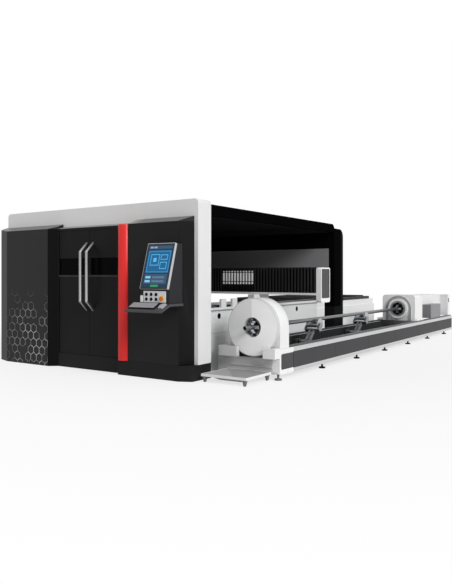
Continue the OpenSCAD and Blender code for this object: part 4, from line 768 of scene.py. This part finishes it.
# %% Console fittings
def ring_mesh(name, x, z, y0, y1, inner, outer, steps=40):
    """A flat ring that stands on a face looking to -Y."""
    points, faces = [], []
    for n in range(steps):
        c, d = math.cos(2 * math.pi * n / steps), math.sin(2 * math.pi * n / steps)
        points += [(x + r * c, y, z + r * d) for r, y in ((inner, y1), (outer, y1), (outer, y0), (inner, y0))]
        for k in range(4):
            a, b = 4 * n + k, 4 * n + (k + 1) % 4
            p, q = (a + 4) % (4 * steps), (b + 4) % (4 * steps)
            faces.append((a, b, q, p))
    mesh = bpy.data.meshes.new(name)
    mesh.from_pydata(points, [], faces)
    return mesh


def box_mesh(name, low, high, edge=0.002):
    mesh = bpy.data.meshes.new(name)
    build = bmesh.new()
    bmesh.ops.create_cube(build, size=1.0)
    for corner in build.verts:
        corner.co = [(a + b) / 2 + c * (b - a) for a, b, c in zip(low, high, corner.co)]
    bmesh.ops.bevel(build, geom=build.edges[:], offset=edge, segments=2, affect="EDGES", profile=0.6)
    build.to_mesh(mesh)
    build.free()
    return mesh


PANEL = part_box("button_panel")
panel_w, panel_h, face = PANEL[1][0] - PANEL[0][0], PANEL[1][2] - PANEL[0][2], PANEL[0][1]
mesh = ring_mesh("stop_plate", PANEL[0][0] + panel_w * 0.82, PANEL[0][2] + panel_h * 0.34,
                 face - 0.0025, face, 0.0125, 0.034)
mesh.materials.append(yellow)
placed("stop_plate", mesh, "machine")
for number, (across, upward) in enumerate([(a, b) for b in (0.7, 0.28) for a in (0.14, 0.36, 0.58)], 1):
    mesh = ring_mesh(f"button_ring_{number}", PANEL[0][0] + panel_w * across, PANEL[0][2] + panel_h * upward,
                     face - 0.004, face, 0.0153, 0.0205)
    mesh.materials.append(black_plastic)
    placed(f"button_ring_{number}", mesh, "machine")
mesh = box_mesh("card_holder", (0.889, -4.366, 0.957), (0.925, -4.35, 1.035), 0.003)
mesh.materials.append(white)
placed("card_holder", mesh, "machine")
print("console fittings: 8")

# %% [markdown]
# The cabin's far side, top and back are not in the photograph. They get what such cabins usually have: bolted cover
# sheets with open joints, two grilles of slanting blades, and standing seams on the roof. One group lays a row of
# plates, and its inputs say how large, how far apart and how many.

# %% Cover sheets, grilles and roof seams
plates, entry, leave = new_repeat("plate row", [
    (POINT, "Size", (0.1, 0.1, 0.1)), (POINT, "Turn", (0, 0, 0)), (POINT, "Start", (0, 0, 0)),
    (POINT, "Step", (0, 1, 0)), (INT, "Count", 2), ("NodeSocketMaterial", "Finish", outer_black)])
plate = add(plates, "GeometryNodeMeshCube", [("Size", entry.outputs["Size"])]).outputs[0]
plate = moved(plates, plate, (0, 0, 0), entry.outputs["Turn"])
row = add(plates, "GeometryNodeMeshLine", [("Count", entry.outputs["Count"]),
                                           ("Start Location", entry.outputs["Start"]),
                                           ("Offset", entry.outputs["Step"])]).outputs[0]
plates.links.new(laid(plates, row, (plate, entry.outputs["Finish"])), leave.inputs[0])
WALL_X, BACK_Y, ROOF_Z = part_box("left_wall")[0][0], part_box("rear_frame")[1][1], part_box("roof_shell")[1][2]
SHEET_T, BLADE_TURN = 0.004, (0, math.radians(-30), 0)
PLATE_ROWS = [
    ("wall_sheets_low", (SHEET_T, 0.888, 0.94), (0, 0, 0), (WALL_X - SHEET_T / 2, -3.18, 0.58), (0, 0.9, 0), 4),
    ("wall_sheets_high", (SHEET_T, 0.888, 0.94), (0, 0, 0), (WALL_X - SHEET_T / 2, -3.18, 1.53), (0, 0.9, 0), 4),
    ("wall_latches", (0.016, 0.03, 0.11), (0, 0, 0), (WALL_X - 0.012, -2.78, 1.0), (0, 0.9, 0), 4),
    ("grille_front", (0.003, 0.56, 0.032), BLADE_TURN, (WALL_X - 0.0125, -2.28, 0.3), (0, 0, 0.03), 14),
    ("grille_rear", (0.003, 0.56, 0.032), BLADE_TURN, (WALL_X - 0.0125, -1.38, 0.3), (0, 0, 0.03), 14),
    ("back_sheets", (0.88, SHEET_T, 0.36), (0, 0, 0), (-1.732, BACK_Y + SHEET_T / 2, 1.64), (0.892, 0, 0), 4),
    ("roof_seams", (3.3, 0.034, 0.014), (0, 0, 0), (-0.42, -2.9, ROOF_Z + 0.007), (0, 0.72, 0), 4),
]
for name, size, turn, start, step, count in PLATE_ROWS:
    made(name, plates, "machine", "black_paint", Size=size, Turn=turn, Start=start, Step=step, Count=count,
         Finish=outer_black)
print("plate rows:", len(PLATE_ROWS))

# %% [markdown]
# Each door leaf slides into a pocket behind its cabinet. A brush beside the pocket's mouth closes the slit in front
# of the leaf. It is made by the same group, as a row of short bristle blocks, and leaves a gap for the leaf's ledge.

# %% Brush seals
BRISTLE, BRISTLE_PITCH, BRUSH_Y = (0.016, 0.0125, 0.0055), 0.0062, -4.018
for side, mouth_x in (("left", -0.957), ("right", 0.262)):
    for part, low_z, high_z in (("low", 0.2, 1.24), ("high", 1.295, 1.885)):
        made(f"brush_{side}_{part}", plates, "machine", "black_plastic", Size=BRISTLE, Step=(0, 0, BRISTLE_PITCH),
             Start=(mouth_x, BRUSH_Y + BRISTLE[1] / 2, low_z), Count=int((high_z - low_z) / BRISTLE_PITCH),
             Finish=black_plastic)
print("brushes: 4")

# %% [markdown]
# The stage is a pale floor that turns to plain white further out, under a white sky. The camera sees both as
# nearly white, while the machine is lit at a plain level: an even sky, and one broad lamp from the right, as in the
# photograph, where faces that look right are brighter than those that look forward.

# %% Floor, sky and lamp
floor_mesh = bpy.data.meshes.new("floor")
floor_mesh.from_pydata([(-90, -90, 0), (90, -90, 0), (90, 90, 0), (-90, 90, 0)], [], [(0, 1, 2, 3)])
floor = bpy.data.objects.new("floor", floor_mesh)
bpy.context.scene.collection.objects.link(floor)
ground_look = bpy.data.materials.new("pale floor")
ground_look.use_nodes = True
tree = ground_look.node_tree
tree.nodes.clear()
rays = add(tree, "ShaderNodeLightPath")
seen = maths(tree, "ADD", maths(tree, "ADD", rays.outputs["Is Camera Ray"], rays.outputs["Is Glossy Ray"]),
             rays.outputs["Is Transmission Ray"], True)
place = add(tree, "ShaderNodeTexCoord").outputs["Object"]
reach = add(tree, "ShaderNodeVectorMath", [(0, place)], operation="LENGTH").outputs["Value"]
far = add(tree, "ShaderNodeMapRange", [(0, reach), (1, 4.0), (2, 9.0), (3, 0.7), (4, 1.0)]).outputs[0]
lit = add(tree, "ShaderNodeBsdfDiffuse", [("Color", (0.86, 0.86, 0.86, 1))])
plain = add(tree, "ShaderNodeEmission", [("Color", (1, 1, 1, 1)), ("Strength", 1.0)])
blend = add(tree, "ShaderNodeMixShader", [(0, maths(tree, "MULTIPLY", seen, far)), (1, lit.outputs[0]),
                                          (2, plain.outputs[0])])
add(tree, "ShaderNodeOutputMaterial", [(0, blend.outputs[0])])
floor_mesh.materials.append(ground_look)

world = bpy.data.worlds.new("sky")
bpy.context.scene.world = world
world.use_nodes = True
tree = world.node_tree
tree.nodes.clear()
rays = add(tree, "ShaderNodeLightPath")
seen = maths(tree, "ADD", maths(tree, "ADD", rays.outputs["Is Camera Ray"], rays.outputs["Is Glossy Ray"]),
             rays.outputs["Is Transmission Ray"], True)
strength = add(tree, "ShaderNodeMapRange", [(0, seen), (3, 0.48), (4, 1.0)]).outputs[0]
sky = add(tree, "ShaderNodeBackground", [(0, (1, 1, 1, 1)), (1, strength)])
add(tree, "ShaderNodeOutputWorld", [(0, sky.outputs[0])])

lamp_data = bpy.data.lights.new("broad lamp", "SUN")
lamp_data.energy = 2.3
lamp_data.angle = math.radians(25)
lamp = bpy.data.objects.new("broad lamp", lamp_data)
lamp.rotation_euler = Vector((0.8, -0.28, 0.5)).to_track_quat("Z", "Y").to_euler()
bpy.context.scene.collection.objects.link(lamp)
bpy.context.scene.view_settings.view_transform = "Standard"
print("stage ready")
